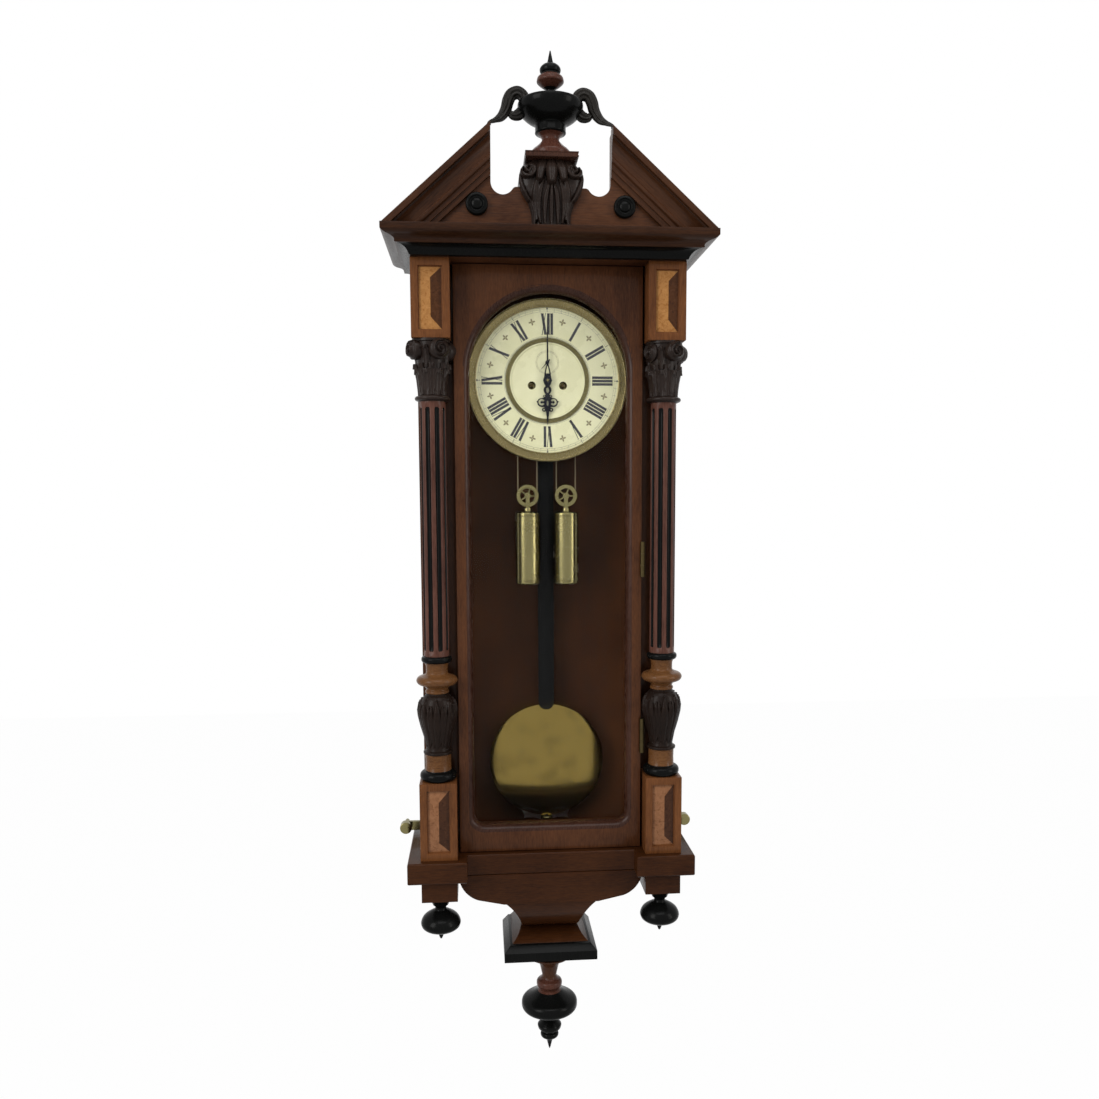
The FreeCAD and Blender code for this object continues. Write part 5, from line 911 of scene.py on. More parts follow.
# %% Capitals
CAPITAL_TURN = math.radians(-19)
for side, word in SIDES:
    foot = place(COLUMN_X * side, COLUMN_DEPTH, CAPITAL_FOOT)
    lathe("capital_core_" + word, [
        (0, 0), (17.2, 0), (18.0, 1.0, 0.4), (21.7, 3.6, 0.45), (18.4, 6.6, 0.45), (16.4, 7.6),
        (15.4, 9.0), (15.8, 20), (18.2, 44, -0.03), (20.2, 62, -0.04), (21.0, 71.0), (22.8, 71.8),
        (22.8, 74.7), (0, 74.75),
    ], foot, "case", carving, replaced=("capitals",))
    verts, faces = [], []
    rows, cols = 18, 12
    petals = [(CAPITAL_TURN + math.tau * n / 8, 7.5, 45, 3.6, 8.2) for n in range(8)]
    petals += [(CAPITAL_TURN + math.tau * (n + 0.5) / 8, 8, 53, 3.2, 6.4) for n in range(8)]
    petals += [(CAPITAL_TURN + math.tau * n / 4, 40, 72, 4.0, 5.6) for n in range(4)]
    for angle, low, high, reach_out, half in petals:
        faces += joined_rings(rows, cols + 1, len(verts), closed=False)
        for row in range(rows + 1):
            t = row / rows
            tip = max(t - 0.84, 0)
            z = low + (high - low) * (t - tip * 1.9)
            ground = 15.2 + 5.4 * max(0, (z - 10) / 60)
            reach = ground - 0.4 + reach_out * t ** 2.6
            width = half * math.sin(math.pi * (0.20 + 0.74 * t)) ** 0.8
            width *= 1 + 0.14 * math.cos(t * 30)
            for col in range(cols + 1):
                s = col / cols * 2 - 1
                ridge = 3.2 * math.cos(s * math.pi / 2) ** 0.8 + 0.45 * math.cos(s * 5 * math.pi)
                ridge -= 1.3 * math.exp(-(s / 0.15) ** 2)
                r = (reach + ridge) * MM
                turn = angle + s * width / reach
                verts.append(foot + Vector((r * math.sin(turn), -r * math.cos(turn), z * MM)))
    add("capital_leaves_" + word, verts, faces, "case", carving, smooth=60)
    for corner in range(4):
        turn = CAPITAL_TURN + math.pi / 4 + corner * math.pi / 2
        out_way = Vector((math.sin(turn), -math.cos(turn), 0))
        by_door = side == 1 and corner == 3
        reach, rise = (20.6, 2.6) if by_door else (25.5, 3.6)
        snail(f"capital_volute_{word}_{corner}", foot + out_way * reach * MM
              + Vector((0, 0, 61.8 * MM)), out_way, 12.0, 9.0, rise, 1.2, 1,
              "case", carving, rise=rise)

print("leaves on a capital:", len(petals))

# %% [markdown]
# ### Corbel
#
# The corbel carries the urn in the break of the pediment: an acanthus with
# overhanging tips, two curls at its shoulders and ribs that gather at the foot.
# Its block is swept level by level, with the leaf raised on the front, and a
# moulded slab lies on top.

# %% Corbel
CORBEL_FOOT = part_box("corbel")[0].z
CORBEL_BACK = 130.0
CORBEL_OUT = [(0, 24, 162), (7, 23, 161), (14, 23.6, 161), (20, 25, 162), (28, 27.4, 164),
              (34, 31.4, 166), (40, 35.0, 167.5), (47, 37.4, 168.5), (55, 38.3, 168.5),
              (60, 37.6, 168), (65, 36, 167), (71.5, 31.9, 164), (77, 27.5, 161)]


def corbel_outline(v):
    """Half width and front depth of the corbel at a height above its foot."""
    heights = [p[0] for p in CORBEL_OUT]
    return (float(np.interp(v, heights, [p[1] for p in CORBEL_OUT])),
            float(np.interp(v, heights, [p[2] for p in CORBEL_OUT])))


corbel_fronds = [
    frond((0, 79), (0, 66), (0, 51), 7.4, 12.5, blunt=0.2),
    frond((0, 50), (0, 28), (0, 2), 2.7, 6.6, blunt=0.2),
]
corbel_fronds += both_ways(
    ((5, 79), (12.5, 73), (14.0, 54), 6.4, 9.6, 0.2), ((12, 78), (21, 76), (24.0, 58), 6.0, 7.0, 0.2),
    ((2.5, 48), (9, 34), (7.5, 4), 3.0, 5.4, 0.1), ((9, 52), (19, 36), (13, 6), 3.2, 5.0, 0.1),
    ((15, 55), (22, 38), (17.5, 10), 4.2, 5.0, 0.1), ((37, 60), (40, 46), (28, 31), 4.6, 6.8, 0.2),
    ((30, 36), (17.5, 20), (22.5, 1), 3.8, 7.0, 0.2))
corbel_fronds += [curl(26 * side, 64, 9.6, 1.5, math.pi / 2 - side * math.pi / 3, -side, 2.7, 8.4)
                  for side in (-1, 1)]


def carved_block(name, fronds, outline_at, high, back, body, look, grid=(110, 100),
                 replaced=()):
    """A solid block whose front is carved: every level is one closed loop."""
    verts = []
    for row in range(grid[1]):
        v = high * row / (grid[1] - 1)
        half, front = outline_at(v)
        share = np.linspace(-1, 1, grid[0])
        x = share * half
        depth = front - 9.0 * np.abs(share) ** 4 + relief(x, np.full_like(x, v), fronds)
        loop = [(-half, back), (-half, (back + front) / 2)]
        loop += list(zip(x, depth))
        loop += [(half, (back + front) / 2), (half, back)]
        verts += [place(a * MM, b * MM, CORBEL_FOOT + v * MM) for a, b in loop]
    around = grid[0] + 4
    faces = joined_rings(grid[1] - 1, around)
    last = (grid[1] - 1) * around
    faces.append(tuple(range(around)))
    faces.append(tuple(last + step for step in range(around)))
    return add(name, verts, faces, body, look, replaced, smooth=55)


def stack(name, levels, centre, body, look):
    """A moulded slab: rectangles of given half width and half depth, one above another."""
    verts = []
    for z, half, deep in levels:
        for x, y in ((-half, -deep), (half, -deep), (half, deep), (-half, deep)):
            verts.append(centre + Vector((x * MM, y * MM, z * MM)))
    faces = [(0, 1, 2, 3), tuple(len(verts) - 4 + i for i in range(4))]
    faces += joined_rings(len(levels) - 1, 4)
    return add(name, verts, faces, body, look, smooth=30)


carved_block("corbel_carving", corbel_fronds, corbel_outline, 77, CORBEL_BACK, "case",
             carving, replaced=("corbel",))
stack("corbel_slab", [(75.8, 28.0, 22.4), (76.2, 30.6, 24.4), (76.8, 31.2, 24.8),
                      (78.0, 31.2, 24.8), (78.4, 30.4, 24.2), (81.0, 30.4, 24.2),
                      (81.4, 31.2, 24.8), (82.1, 31.2, 24.8), (82.4, 30.8, 24.5)],
      place(0, 152 * MM, CORBEL_FOOT), "case", bead_wood)

# %% [markdown]
# ## Corner blocks
#
# Each block carries a sunk panel with a hipped burr lozenge. The imported block has the form already, so
# its faces are sorted by place and by the way they lean: the lit burr, painted light, on the left slopes,
# and its darker copy, painted shade, on the right ones.

# %% Corner blocks
PANEL_HALF = 13.5 * MM
# light and deep carry the lit and the darker copy of one burr: painted light and painted shade.
for node, light, deep in (("upper_blocks", burr_gold, burr_gold_painted_shade),
                          ("lower_blocks", burr_pink, burr_pink_painted_shade)):
    low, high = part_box(node)

    def veneered(mesh, face, low=low, high=high):
        """Painted light on the left facets of the lozenge and painted shade on the right ones, from two
        copies of one burr.
        """
        for index in face.vertices:
            corner = mesh.vertices[index].co
            across = abs(abs(corner.x) - COLUMN_X)
            if across > PANEL_HALF or corner.z < low.z + 9 * MM or corner.z > high.z - 9 * MM:
                return 0
        return 1 if face.normal.x < 0.02 else 2

    softened(node, [bright, light, deep], width=0.4, looks_by=veneered)

# %% [markdown]
# ## Mouldings
#
# The frieze, cornice, rakes and plinth keep their packed sections. On the rakes
# the grain runs up the slope, so each side has its own turned wood.

# %% Mouldings
softened("cornice", dusky, width=0.3)
softened("plinth_moulding", ebony, width=0.5)
softened("rakes", [slope_wood[-1], slope_wood[1]], width=0.3,
         looks_by=lambda mesh, face: 1 if face.center.x > 0 else 0)
softened("frieze", ebony, width=0.3)

# %% [markdown]
# ## Pediment handles
#
# Two ribbed S-curves spring from the tips of the rakes and curl against the urn.
# Each is a smooth curve through measured points, with its own thickness at each
# point and ribs running along it.

# %% Handles
HANDLE = [(72.4, 30.4, 2.6, 167), (71.2, 33.6, 2.0, 165.5), (65.5, 37.4, 3.0, 161), (60, 42.0, 4.8, 155.5),
          (55.3, 47.5, 6.0, 153.5), (51.6, 55, 6.8, 152), (49.4, 63, 7.2, 152), (45.5, 70, 7.3, 152),
          (38.4, 72.6, 7.4, 152), (32.3, 69, 7.0, 152), (30.3, 61.5, 6.6, 152),
          (32.2, 53.5, 6.6, 152), (38, 47.5, 6.6, 152), (44.5, 47.0, 5.2, 152),
          (48, 50.5, 2.8, 152)]


def ribbed(name, points, radii, body, look, ribs=9, depth=0.2, replaced=()):
    """A tube whose surface is fluted along its length."""
    curve = [Vector(p) for p in points]
    smooth_points, widths = [], []
    for i in range(len(curve) - 1):
        p0 = curve[max(i - 1, 0)]
        p1, p2 = curve[i], curve[i + 1]
        p3 = curve[min(i + 2, len(curve) - 1)]
        for step in range(8):
            t = step / 8
            smooth_points.append(0.5 * ((2 * p1) + (p2 - p0) * t
                                        + (2 * p0 - 5 * p1 + 4 * p2 - p3) * t * t
                                        + (3 * p1 - p0 - 3 * p2 + p3) * t ** 3))
            widths.append(radii[i] * (1 - t) + radii[i + 1] * t)
    smooth_points.append(curve[-1])
    widths.append(radii[-1])
    around = ribs * 6
    verts = []
    forward = Vector((0, -1, 0))
    for i, (point, width) in enumerate(zip(smooth_points, widths)):
        ahead = smooth_points[min(i + 1, len(smooth_points) - 1)]
        behind = smooth_points[max(i - 1, 0)]
        along = (ahead - behind).normalized()
        across = along.cross(forward).normalized()
        for step in range(around):
            angle = math.tau * step / around
            r = width * MM * (1 - depth * (0.5 + 0.5 * math.cos(angle * ribs)))
            verts.append(point + across * (r * math.cos(angle)) + forward * (r * math.sin(angle)))
    faces = joined_rings(len(smooth_points) - 1, around)
    faces.append(tuple(range(around)))
    last = (len(smooth_points) - 1) * around
    faces.append(tuple(last + i for i in range(around)))
    return add(name, verts, faces, body, look, replaced, smooth=60)


for side, word in SIDES:
    points = [place(x * MM * side, depth * MM, URN_SEAT + z * MM) for x, z, _, depth in HANDLE]
    ribbed("handle_" + word, points, [p[2] for p in HANDLE], "case", dark_carving,
           replaced=("scrolls",))

# %% [markdown]
# ## Dial
#
# A domed enamel with a sunk centre, radial Roman hours and a fine minute track.
# The printing stands a few hundredths of a millimetre off the enamel, so that it
# is real geometry. A numeral is built from bars, as the engraver draws it: thick
# stems, hairlines and short feet.

# %% Numerals
PRINT = 84.09


def bar(radius_in, radius_out, across, width, degrees, lean=0.0):
    """A slim bar of a numeral between two radii; lean shifts its outer end sideways."""
    half = width / 2
    return [polar(radius_in, across - lean - half, degrees),
            polar(radius_in, across - lean + half, degrees),
            polar(radius_out, across + lean + half, degrees),
            polar(radius_out, across + lean - half, degrees)]


ROMAN = ["XII", "I", "II", "III", "IIII", "V", "VI", "VII", "VIII", "IX", "X", "XI"]
NUMERAL_IN, NUMERAL_OUT = 57.5, 83.9
STEM, HAIR, SERIF = 3.3, 0.8, 0.45
WIDTHS = {"I": 4.2, "V": 6.9, "X": 7.4}


def serif(end, middle, reach, inner_reach, degrees):
    """The short foot across one end of a stroke."""
    inner = end + SERIF if end == NUMERAL_IN else end - SERIF
    return [polar(end, middle - reach, degrees), polar(end, middle + reach, degrees),
            polar(inner, middle + inner_reach, degrees),
            polar(inner, middle - inner_reach, degrees)]


def numeral(text, degrees):
    """The loops of one Roman numeral whose foot faces the dial centre."""
    across = -sum(WIDTHS[letter] for letter in text) / 2
    low, high = NUMERAL_IN, NUMERAL_OUT
    loops = []
    for letter in text:
        middle = across + WIDTHS[letter] / 2
        across += WIDTHS[letter]
        if letter == "I":
            loops.append(bar(low, high, middle, STEM, degrees))
            feet = [(end, 0, 2.05, 1.9) for end in (low, high)]
        elif letter == "V":
            loops.append(bar(low, high, middle - 1.3, STEM, degrees, lean=-1.25))
            loops.append(bar(low, high, middle + 1.3, HAIR, degrees, lean=1.25))
            feet = [(high, -2.55, 2.0, 1.8), (high, 2.55, 1.0, 0.9)]
        else:
            loops.append(bar(low, high, middle, STEM, degrees, lean=-2.1))
            loops.append(bar(low, high, middle, HAIR, degrees, lean=2.1))
            feet = [(end, 2.1 * hand * way, 2.0 if hand > 0 else 1.0, 1.8 if hand > 0 else 0.9)
                    for end, way in ((low, 1), (high, -1)) for hand in (1, -1)]
        loops += [serif(end, middle + shift, reach, inner, degrees)
                  for end, shift, reach, inner in feet]
    return loops


def printed(name, loops, look=ink, front=PRINT):
    """Printing on the enamel: each loop is its own sheet, so that crossing strokes add."""
    verts, faces = [], []
    for loop in loops:
        base = len(verts)
        verts += [place(x * MM, front * MM, DIAL_Z + z * MM) for x, z in loop]
        faces.append(tuple(range(base, base + len(loop))))
    mesh = bpy.data.meshes.new(name)
    mesh.from_pydata([tuple(v) for v in verts], [], faces)
    bm = bmesh.new()
    bm.from_mesh(mesh)
    for face in bm.faces:
        face.normal_update()
        if face.normal.y > 0:
            face.normal_flip()
    bm.to_mesh(mesh)
    bm.free()
    return put(name, mesh, "case", look)


for hour, text in enumerate(ROMAN):
    printed("numeral_%d" % (hour or 12), numeral(text, hour * 30))
print("numerals:", len(ROMAN))

# %% [markdown]
# ### Minute track, centre ring and winding holes
#
# The track is two hairlines with a mark for each minute and a dot outside it;
# the quarters have a small diamond. A brass ring covers the step down to the
# sunk centre, and each winding hole has a thin collet.



# %% Minute track
def band(radius, width, steps=180, start=0, turn=360, centre=(0, 0)):
    """Short quads that make a printed circle."""
    out = []
    for step in range(steps):
        a = start + turn * step / steps
        b = start + turn * (step + 1) / steps
        quad = [polar(radius - width / 2, 0, a), polar(radius + width / 2, 0, a),
                polar(radius + width / 2, 0, b), polar(radius - width / 2, 0, b)]
        out.append([(x + centre[0], z + centre[1]) for x, z in quad])
    return out


TRACK_IN, TRACK_OUT = 85.9, 88.4
track = band(TRACK_IN, 0.2) + band(TRACK_OUT, 0.2)
dots = []
for minute in range(60):
    angle = minute * 6
    long = minute % 5 == 0
    track.append(bar(TRACK_IN, TRACK_OUT, 0, 0.6 if long else 0.24, angle))
    x, z = polar(89.7, 0, angle)
    if minute % 15 == 0:
        dots.append([polar(88.4, 0, angle), polar(89.8, 1.3, angle), polar(91.1, 0, angle),
                     polar(89.8, -1.3, angle)])
    else:
        dots.append(disc(x, z, 0.6 if long else 0.28, 12))
printed("minute_track", track + dots)
printed("inner_circle", band(54.0, 0.5, 140) + band(55.4, 0.2, 140))
lathe("centre_ring", [
    (47.9, 84.0), (48.0, 84.55), (48.6, 84.75, 0.3), (49.5, 84.5, 0.2), (51.8, 84.5),
    (52.6, 84.75, 0.2), (53.3, 84.5, 0.3), (53.4, 84.0),
], place(0, 0, DIAL_Z), "case", ring_brass, axis="y", segments=160)
for side, word in SIDES:
    lathe("key_collet_" + word, [
        (4.65, 82.4), (4.65, 83.3), (4.85, 83.4, 0.3), (5.1, 83.3, 0.3), (5.1, 83.15),
    ], place(20 * MM * side, 0, DIAL_Z - 6 * MM), "case", aged_brass, axis="y", segments=48)

# %% [markdown]
# ### Fleurons, seconds circle and bezel
#
# A small four-petalled cross stands between each two hours. The seconds circle
# is printed faintly above the arbor. The bezel is a spun brass ring with a
# rolled inner edge.



# %% Fleurons
def fleuron(degrees):
    """A small cross of four petals between two numerals."""
    out = []
    middle = 75.3
    for turn in range(4):
        petal = []
        for step in range(14):
            t = math.tau * step / 14
            r = 2.3 + 2.0 * math.cos(t)
            s = 1.05 * math.sin(t)
            a = math.radians(90 * turn)
            petal.append(polar(middle + r * math.cos(a) - s * math.sin(a),
                               r * math.sin(a) + s * math.cos(a), degrees))
        out.append(petal)
    return out


printed("fleurons", [loop for hour in range(12) for loop in fleuron(hour * 30 + 15)], look=olive)
SECONDS = (0, 23.0)
second_marks = band(13.2, 0.16, 90, centre=SECONDS) + band(14.8, 0.16, 90, centre=SECONDS)
for mark in range(60):
    wide_mark = 0.34 if mark % 5 == 0 else 0.14
    quad = bar(13.2, 14.8, 0, wide_mark, mark * 6)
    second_marks.append([(x + SECONDS[0], z + SECONDS[1]) for x, z in quad])
printed("seconds_track", second_marks, look=olive, front=83.3)

lathe("bezel_ring", [
    (91.1, 84.4), (91.1, 87.2), (91.8, 88.2, 0.3), (92.9, 88.2), (93.4, 87.4), (94.6, 87.3),
    (99.9, 86.6), (100.5, 87.1, 0.2), (101.9, 86.9, 0.2), (102.6, 85.6), (102.6, 79.0),
    (99.4, 79.0), (99.4, 84.4), (91.1, 84.4),
], place(0, 0, DIAL_Z), "case", bezel_brass, axis="y", replaced=("bezel",),
      segments=180)

# %% [markdown]
# ## Hands
#
# Cut from thin blued steel with pierced loops. The hour hand has a ring, two
# lobes with a standing drop in each, and a long point; the minute hand is a slim
# blade with one slit. They are drawn as half outlines and mirrored, as the sheet
# would be folded over the pattern.



# %% Hands
def outline(half, degrees):
    """A closed outline from (out, half width) pairs on one side, turned to an angle."""
    right = [polar(r, w, degrees) for r, w in half]
    left = [polar(r, -w, degrees) for r, w in reversed(half)]
    return right + left


def oval(out, across, length, width, degrees, steps=28):
    return [polar(out + length * math.cos(math.tau * s / steps),
                  across + width * math.sin(math.tau * s / steps), degrees)
            for s in range(steps)]


HOUR = 180.0
hour_shape = outline([
    (-5.6, 1.4), (-4.4, 4.0), (0, 5.6), (4.2, 4.3), (7.0, 2.5), (9.0, 4.4), (11.0, 5.0),
    (13.0, 5.0), (16.0, 3.6), (17.6, 2.1), (18.0, 4.2), (19.2, 6.0), (20.8, 5.8), (21.4, 4.2),
    (21.8, 6.4), (22.2, 9.2), (23.4, 11.6), (25.4, 12.8), (26.6, 14.5), (28.0, 13.1), (30.4, 12.6), (32.4, 10.8), (33.3, 8.2), (33.1, 5.4),
    (33.4, 3.6), (34.4, 4.6), (34.6, 6.2), (36.0, 7.2), (38.0, 7.0), (39.2, 5.4), (39.1, 3.4),
    (38.6, 2.3), (40.5, 1.8), (44.0, 1.5), (50.0, 0.9), (55.4, 0.25),
], HOUR)


def crescent(out, across, outer, inner, degrees, steps=30, gap=0.5):
    """A hole that leaves a drop standing in its middle, joined on at one side."""
    away = math.copysign(1, across)
    angles = [gap + (math.tau - 2 * gap) * s / steps for s in range(steps + 1)]
    loop = [(outer, a) for a in angles] + [(inner, a) for a in reversed(angles)]
    return [polar(out + r * math.sin(a), across - away * r * math.cos(a), degrees)
            for r, a in loop]

cutout("hour_hand_blade", [hour_shape], 86.5, 0.66, "hour_hand", blued,
       bevel=0.12, replaced=("hour_hand",), holes=[
           crescent(27.3, 7.5, 4.1, 1.6, HOUR), crescent(27.3, -7.5, 4.1, 1.6, HOUR),
           oval(12.2, 0, 3.2, 1.9, HOUR), oval(28.5, 0, 3.4, 1.3, HOUR),
           oval(19.7, 3.9, 0.8, 0.8, HOUR), oval(19.7, -3.9, 0.8, 0.8, HOUR),
           oval(36.7, 4.7, 1.1, 1.1, HOUR),
           oval(36.7, -4.7, 1.1, 1.1, HOUR), disc(0, 0, 2.7)])
minute_shape = outline([
    (-5.8, 1.0), (-4.6, 3.8), (0, 5.8), (3.8, 4.6), (6.0, 4.2), (9.0, 4.0), (14.0, 2.9),
    (19.5, 1.4), (25.0, 1.0), (40.0, 1.0), (60.0, 0.8), (79.4, 0.3),
], 0)
cutout("minute_hand_blade", [minute_shape], 88.6, 0.66, "minute_hand", blued,
       bevel=0.1, replaced=("minute_hand",), holes=[
           disc(0, 0, 1.5), outline([(8.5, 2.4), (18.0, 0.35)], 0)])
lathe("minute_nut", [
    (0, 87.5), (2.8, 87.5), (2.8, 89.2), (2.4, 89.6, 0.3), (1.6, 89.8), (1.5, 90.5), (0, 90.6),
], place(0, 0, DIAL_Z), "minute_hand", iron, axis="y", segments=32)
SECOND_TURN = 222.0
seconds_shape = outline([
    (-4.8, 0.5), (-4.0, 1.1), (-3.0, 0.6), (-1.8, 1.8), (0, 2.5), (1.8, 1.8), (3.0, 0.6),
    (11.8, 0.25),
], SECOND_TURN)
cutout("seconds_hand_blade", [seconds_shape], 85.4, 0.6, "escape_wheel", blued,
       centre=(0, DIAL_Z + 23.0 * MM), bevel=0.08, replaced=("seconds_hand",))

# %% [markdown]
# ## Pendulum
#
# The bob is two shallow domes of polished brass joined at a thin rim, so it
# mirrors the room in a bowed picture. The rod is ebonised pine. Under the bob
# hang the rating nut and, on the back board, the winged scale that shows the
# swing.

# %% Pendulum
BOB_Z = -656.1 * MM
DOME_CURVE = 348.0
DOME_STEPS = 30


def domed(radius, apex, side):
    """Points of a shallow spherical cap from the middle out, bulging to one side."""
    out = []
    for step in range(DOME_STEPS + 1):
        r = radius * step / DOME_STEPS
        out.append((r, apex - side * (DOME_CURVE - math.sqrt(DOME_CURVE ** 2 - r ** 2))))
    return out


lathe("bob_shell", domed(76, 22.1, -1) + [
    (78.2, 31.6, -0.3), (78.6, 33, -0.1), (78.2, 34.4, -0.1),
] + domed(76, 43.9, 1)[::-1], place(0, 0, BOB_Z), "bob", bob_brass, axis="y",
      replaced=("pendulum_bob",), segments=160)
softened("pendulum_rod", ebony, width=0.9)

lathe("rating_knob", [
    (0, 0), (7.2, 0), (8.0, 0.9, -0.3), (8.0, 4.1), (7.2, 5.0, -0.3), (0, 5.0),
], place(0, 33 * MM, -740.1 * MM), "rating_nut", brass, replaced=("rating_nut",),
      segments=60)

# %% [markdown]
# ### Weights and pulleys
#
# Each weight is a brass shell filled with lead. It hangs by a yoke of two straps
# from a pulley with five spokes, so that the cord runs two strands up to the
# movement and the weight falls half as far as the cord.

# %% Weights
WEIGHT_X = 25.2 * MM
WEIGHT_FOOT = -410 * MM
PULLEY_Z = -293.5 * MM
for side, word in SIDES:
    x = WEIGHT_X * side
    foot = place(x, 62 * MM, WEIGHT_FOOT)
    lathe("weight_shell_" + word, [
        (0, 0.2), (10, 0.2), (15.6, 1.2, 0.2), (16.4, 2.6, 0.3), (16.4, 4.6), (15.9, 5.0),
        (15.9, 5.6), (16.4, 6.0), (16.4, 89.6), (15.9, 90.0), (15.9, 90.6), (16.4, 91.0),
        (16.4, 93.2), (15.6, 94.6, 0.3), (9.5, 96.0, 0.1), (4.8, 96.2), (4.8, 100.2),
        (3.8, 101.0, 0.3), (0, 101.2),
    ], foot, "weight_" + word, brass, replaced=("weight_" + word,), segments=96)
    yoke = [(-2.5, 96), (2.5, 96), (2.5, 118.5), (2.1, 120.0), (0, 120.4), (-2.1, 120.0),
            (-2.5, 118.5)]
    for face, depth in (("front", 66.0), ("back", 59.3)):
        cutout(f"yoke_{face}_{word}", [yoke], depth, 1.2, "weight_" + word, brass,
               centre=(x, WEIGHT_FOOT), bevel=0.15)
    lathe("pulley_pin_" + word, [
        (0, 57.4), (1.4, 57.4), (2.0, 57.6), (2.0, 58.4), (1.45, 58.4), (1.45, 65.6), (2.0, 65.8),
        (2.0, 66.6), (1.2, 66.9, 0.3), (0, 66.9),
    ], place(x, 0, PULLEY_Z), "weight_" + word, brass, axis="y", segments=32)
    lathe("pulley_rim_" + word, [
        (9.7, 59.6), (12.4, 59.5), (14.4, 59.6, -0.2), (14.3, 60.4, -0.3), (12.1, 61.6, 0.2),
        (12.1, 62.4, 0.3), (14.3, 63.6, 0.2), (14.4, 64.4, -0.3), (12.4, 64.5, -0.2),
        (9.7, 64.4), (9.7, 59.6),
    ], place(x, 0, PULLEY_Z), "pulley_" + word, brass, axis="y",
          replaced=("pulley_" + word,), segments=96)
    lathe("pulley_hub_" + word, [
        (1.6, 59.8), (4.1, 59.8), (4.1, 64.2), (1.6, 64.2), (1.6, 59.8),
    ], place(x, 0, PULLEY_Z), "pulley_" + word, brass, axis="y", segments=40)
    for spoke in range(5):
        turn = spoke * 72 + 20
        blade = [polar(3.8, -1.0, turn), polar(3.8, 1.0, turn), polar(9.9, 0.75, turn),
                 polar(9.9, -0.75, turn)]
        cutout(f"pulley_spoke_{word}_{spoke}", [blade], 62.9, 1.8, "pulley_" + word,
               brass, centre=(x, PULLEY_Z), bevel=0.1)

# %% [markdown]
# ### Beat scale
#
# The scale is a winged plate of plain steel behind the foot of the pendulum.
# Only its lower edge shows under the bob.

# %% Beat scale
WING = [(0, -9.6), (3.4, -8.0), (10, -5.4), (18, -3.7), (26.5, -3.4), (30.6, -4.2), (30.2, 0.8),
        (33.6, 7.6), (26.8, 4.0), (19, 4.6), (13, 8.5), (9, 15.5), (7.5, 22.5)]
beat_shape = WING + [(-x, z) for x, z in reversed(WING[1:])]
cutout("beat_scale", [beat_shape], 15.6, 1.6, "case", steel, centre=(0, -740 * MM),
       bevel=0.3, replaced=("beat_plate",))

# %% [markdown]
# ### Gut lines
#
# Each gut line runs between the case and its weight: two straight strands and the half turn under the
# pulley.

# %% Gut lines
GUT_RADIUS = 0.58 * MM
GROOVE = 12.5 * MM
LINE_DEPTH = 62 * MM
TURN_RISE = 12.4 * MM
TURN_SAG = 12.0 * MM
STRAND_ROWS, TURN_ROWS, AROUND = 40, 24, 10
for side, word in SIDES:
    x = WEIGHT_X * side
    low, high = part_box("line_" + word)
    turn_z = low.z + TURN_RISE
    verts, faces = [], []
    for strand in (-1, 1):
        faces += joined_rings(STRAND_ROWS, AROUND, len(verts))
        for row in range(STRAND_ROWS + 1):
            z = turn_z + (high.z - turn_z) * row / STRAND_ROWS
            for step in range(AROUND):
                a = math.tau * step / AROUND
                verts.append(place(x + GROOVE * strand + GUT_RADIUS * math.cos(a),
                                   LINE_DEPTH + GUT_RADIUS * math.sin(a), z))
    faces += joined_rings(TURN_ROWS, AROUND, len(verts))
    for row in range(TURN_ROWS + 1):
        a = math.pi + math.pi * row / TURN_ROWS
        middle = place(x + GROOVE * math.cos(a), LINE_DEPTH, turn_z + TURN_SAG * math.sin(a))
        away = Vector((math.cos(a), 0, math.sin(a)))
        for step in range(AROUND):
            b = math.tau * step / AROUND
            verts.append(middle + away * (GUT_RADIUS * math.cos(b))
                         + Vector((0, GUT_RADIUS * math.sin(b), 0)))
    mesh = bpy.data.meshes.new("gut_" + word)
    mesh.from_pydata([tuple(v) for v in verts], [], faces)
    mesh.shade_smooth()
    mesh.materials.append(gut)
    line = bpy.data.objects.new("gut_" + word, mesh)
    bpy.context.scene.collection.objects.link(line)
    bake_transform(line)
    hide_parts("line_" + word)

# %% [markdown]
# ## Door
#
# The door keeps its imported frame. A darker quarter-round bead follows the arch.
# The lower edge of the opening and its glass are let down a little, to where the
# photograph shows them.



# %% Door
def beaded(mesh, face):
    """1 on the quarter-round that follows the glass, 0 on the flat of the frame."""
    inside = abs(face.center.x) < 106 * MM and abs(face.normal.y) < 0.985
    return 1 if inside else 0


SILL_DROP = 6.5 * MM
door_pieces = [softened("door_frame", [door_wood, bead_wood], width=0.5, looks_by=beaded),
               softened("door_glass", glass, width=0.2)]
for item in door_pieces:
    for vertex in item.data.vertices:
        over_rail = LEDGE_TOP + 8 * MM < vertex.co.z < LEDGE_TOP + 60 * MM
        if over_rail and abs(vertex.co.x) < 114 * MM:
            vertex.co.z -= SILL_DROP
nodes["side_glasses"].data.materials[0] = glass

# %% [markdown]
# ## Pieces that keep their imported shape
#
# The movement, gong, hinges and brackets stay as packed and take the finish of
# their material. Drums and hinges get the browned brass.

# %% Finishes for the rest
FINISHES = {
    "brass": brass, "steel": steel, "blued_steel": blued, "cast_iron": iron, "enamel": enamel,
    "walnut": walnut["z"], "carved_wood": carving, "ebonised": ebony, "gut": gut,
    "turned_walnut": golden, "glass": glass, "back_wood": backing, "burr_walnut": burr_gold,
}
for node, item in nodes.items():
    item.data.materials.clear()
    item.data.materials.append(FINISHES[slot_of[node]])
for node in ("case_hinges", "door_hinges", "going_drum", "strike_drum", "great_wheel"):
    nodes[node].data.materials[0] = aged_brass

print("nodes given a finish:", len(nodes))

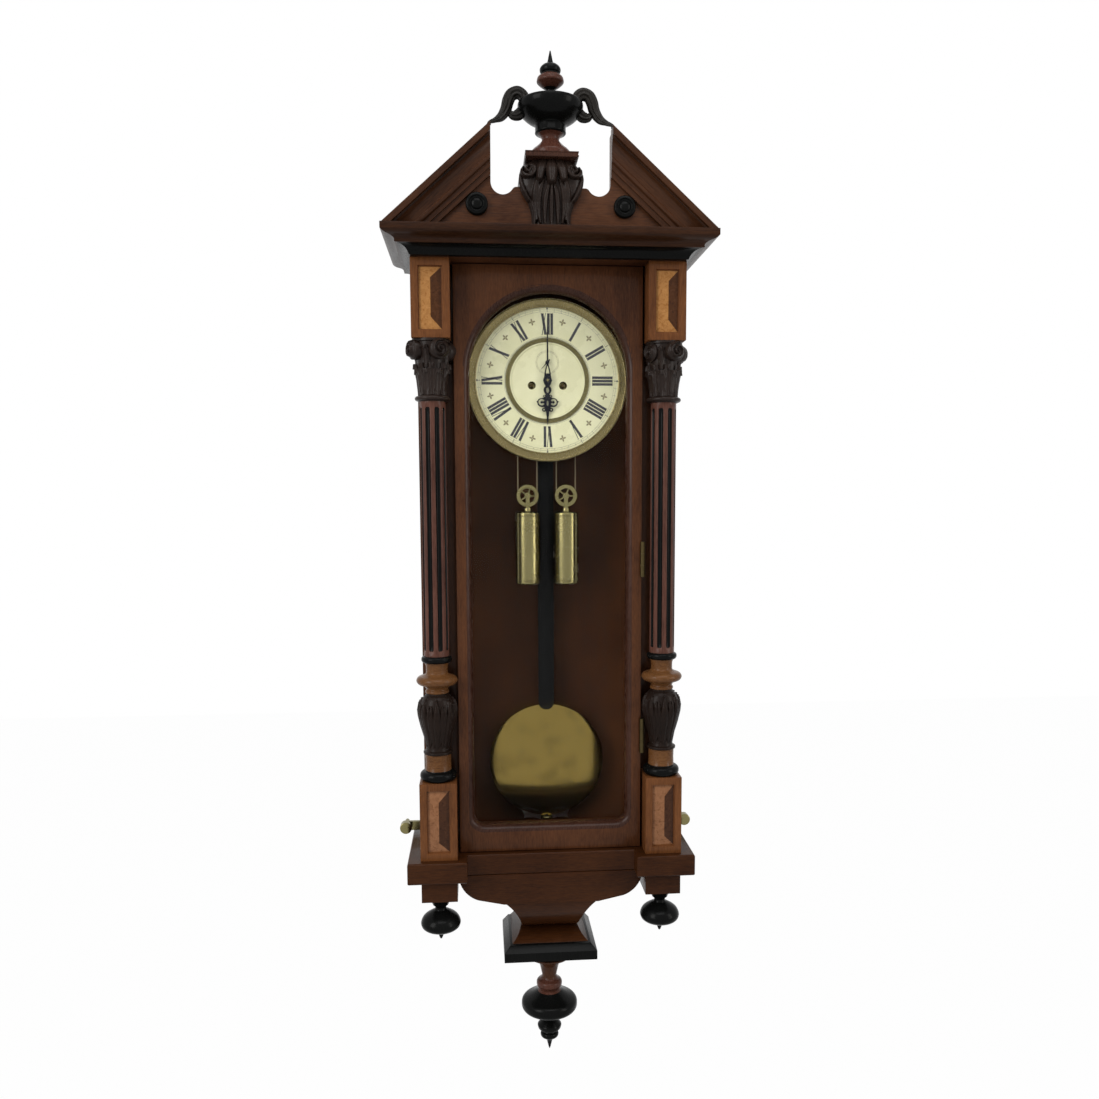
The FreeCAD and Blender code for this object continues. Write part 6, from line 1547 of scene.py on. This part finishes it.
# %% [markdown]
# ## Camera
#
# The place and tilt were fitted to the outline in the photograph: a long lens a
# little left of the clock, tipped slightly down.

# %% Camera
camera_data = bpy.data.cameras.new("camera")
camera = bpy.data.objects.new("camera", camera_data)
bpy.context.scene.collection.objects.link(camera)
camera_data.sensor_width = 36.0
camera_data.lens = 31.45
camera_data.shift_x = -0.0105
camera_data.shift_y = 0.0436
camera.location = place(-89.35 * MM, 1328.45 * MM, -299.7 * MM)
YAW, PITCH, ROLL = 4.867, 5.765, -0.178
camera.rotation_euler = (Matrix.Rotation(math.radians(-YAW), 4, "Z")
                         @ Matrix.Rotation(math.radians(90 - PITCH), 4, "X")
                         @ Matrix.Rotation(math.radians(ROLL), 4, "Z")).to_euler()
bpy.context.scene.camera = camera

# %% [markdown]
# ## White room
#
# The clock stands before white. The surroundings are white where they are looked
# at, mirrored or seen through glass, and a plain grey where they light the wood,
# so the white never adds to the light.



# %% White room
def looked_at(tree):
    """1 for the rays that show the surroundings: direct, mirrored or through glass."""
    paths = tree.nodes.new("ShaderNodeLightPath")
    direct, mirror, through = (Flow(tree, paths.outputs["Is %s Ray" % kind])
                               for kind in ("Camera", "Glossy", "Transmission"))
    return (direct + mirror + through).clamp()


world = bpy.data.worlds.new("studio")
bpy.context.scene.world = world
world.use_nodes = True
tree = world.node_tree
back = tree.nodes["Background"]
seen = looked_at(tree)
seen.feed(back.inputs["Color"], seen.mix((0.15, 0.155, 0.16), (1.0, 1.0, 1.0)))

floor_mesh = bpy.data.meshes.new("floor")
REACH, FLOOR_Z = 6.0, -1.9
floor_mesh.from_pydata([(-REACH, -REACH, FLOOR_Z), (REACH, -REACH, FLOOR_Z),
                        (REACH, REACH, FLOOR_Z), (-REACH, REACH, FLOOR_Z)], [], [(0, 1, 2, 3)])
floor = bpy.data.objects.new("floor", floor_mesh)
bpy.context.scene.collection.objects.link(floor)
pale, pale_bsdf, pale_here = material("pale_floor", Roughness=0.8)
pale_here.feed(pale_bsdf.inputs["Base Color"],
               pale_here.noise(3.0).mix((0.80, 0.80, 0.80), (0.84, 0.84, 0.84)))
floor_mesh.materials.append(pale)
pale_tree = pale.node_tree
floor_seen = looked_at(pale_tree)
white = pale_here.node("Emission", Strength=1.0)
lit = pale_tree.nodes.new("ShaderNodeMixShader")
floor_seen.feed(lit.inputs[0], floor_seen * 0.985)
pale_tree.links.new(pale_bsdf.outputs[0], lit.inputs[1])
floor_seen.feed(lit.inputs[2], white)
pale_tree.links.new(lit.outputs[0], pale_tree.nodes["Material Output"].inputs["Surface"])

# %% [markdown]
# ## Lamps
#
# A tall window light from the left models the columns, a weaker warm one from
# the right opens the shadows, and a soft one above lights the cornice.



# %% Lamps
def lamp(name, where, target, size, power, colour=(1, 1, 1)):
    data = bpy.data.lights.new(name, "AREA")
    data.shape = "RECTANGLE"
    data.size, data.size_y = size
    data.energy = power
    data.color = colour
    item = bpy.data.objects.new(name, data)
    bpy.context.scene.collection.objects.link(item)
    item.location = where
    item.rotation_euler = (Vector(target) - Vector(where)).to_track_quat("-Z", "Y").to_euler()
    return item


lamp("window_left", (-2.3, -2.0, 0.7), (0, 0, -0.35), (1.3, 2.2), 62, (1.0, 0.99, 0.97))
lamp("window_right", (2.4, -1.5, 0.2), (0, 0, -0.4), (0.8, 2.0), 26, (1.0, 0.96, 0.90))
lamp("ceiling", (0.1, -1.7, 2.1), (0, -0.1, -0.3), (2.2, 1.2), 30)
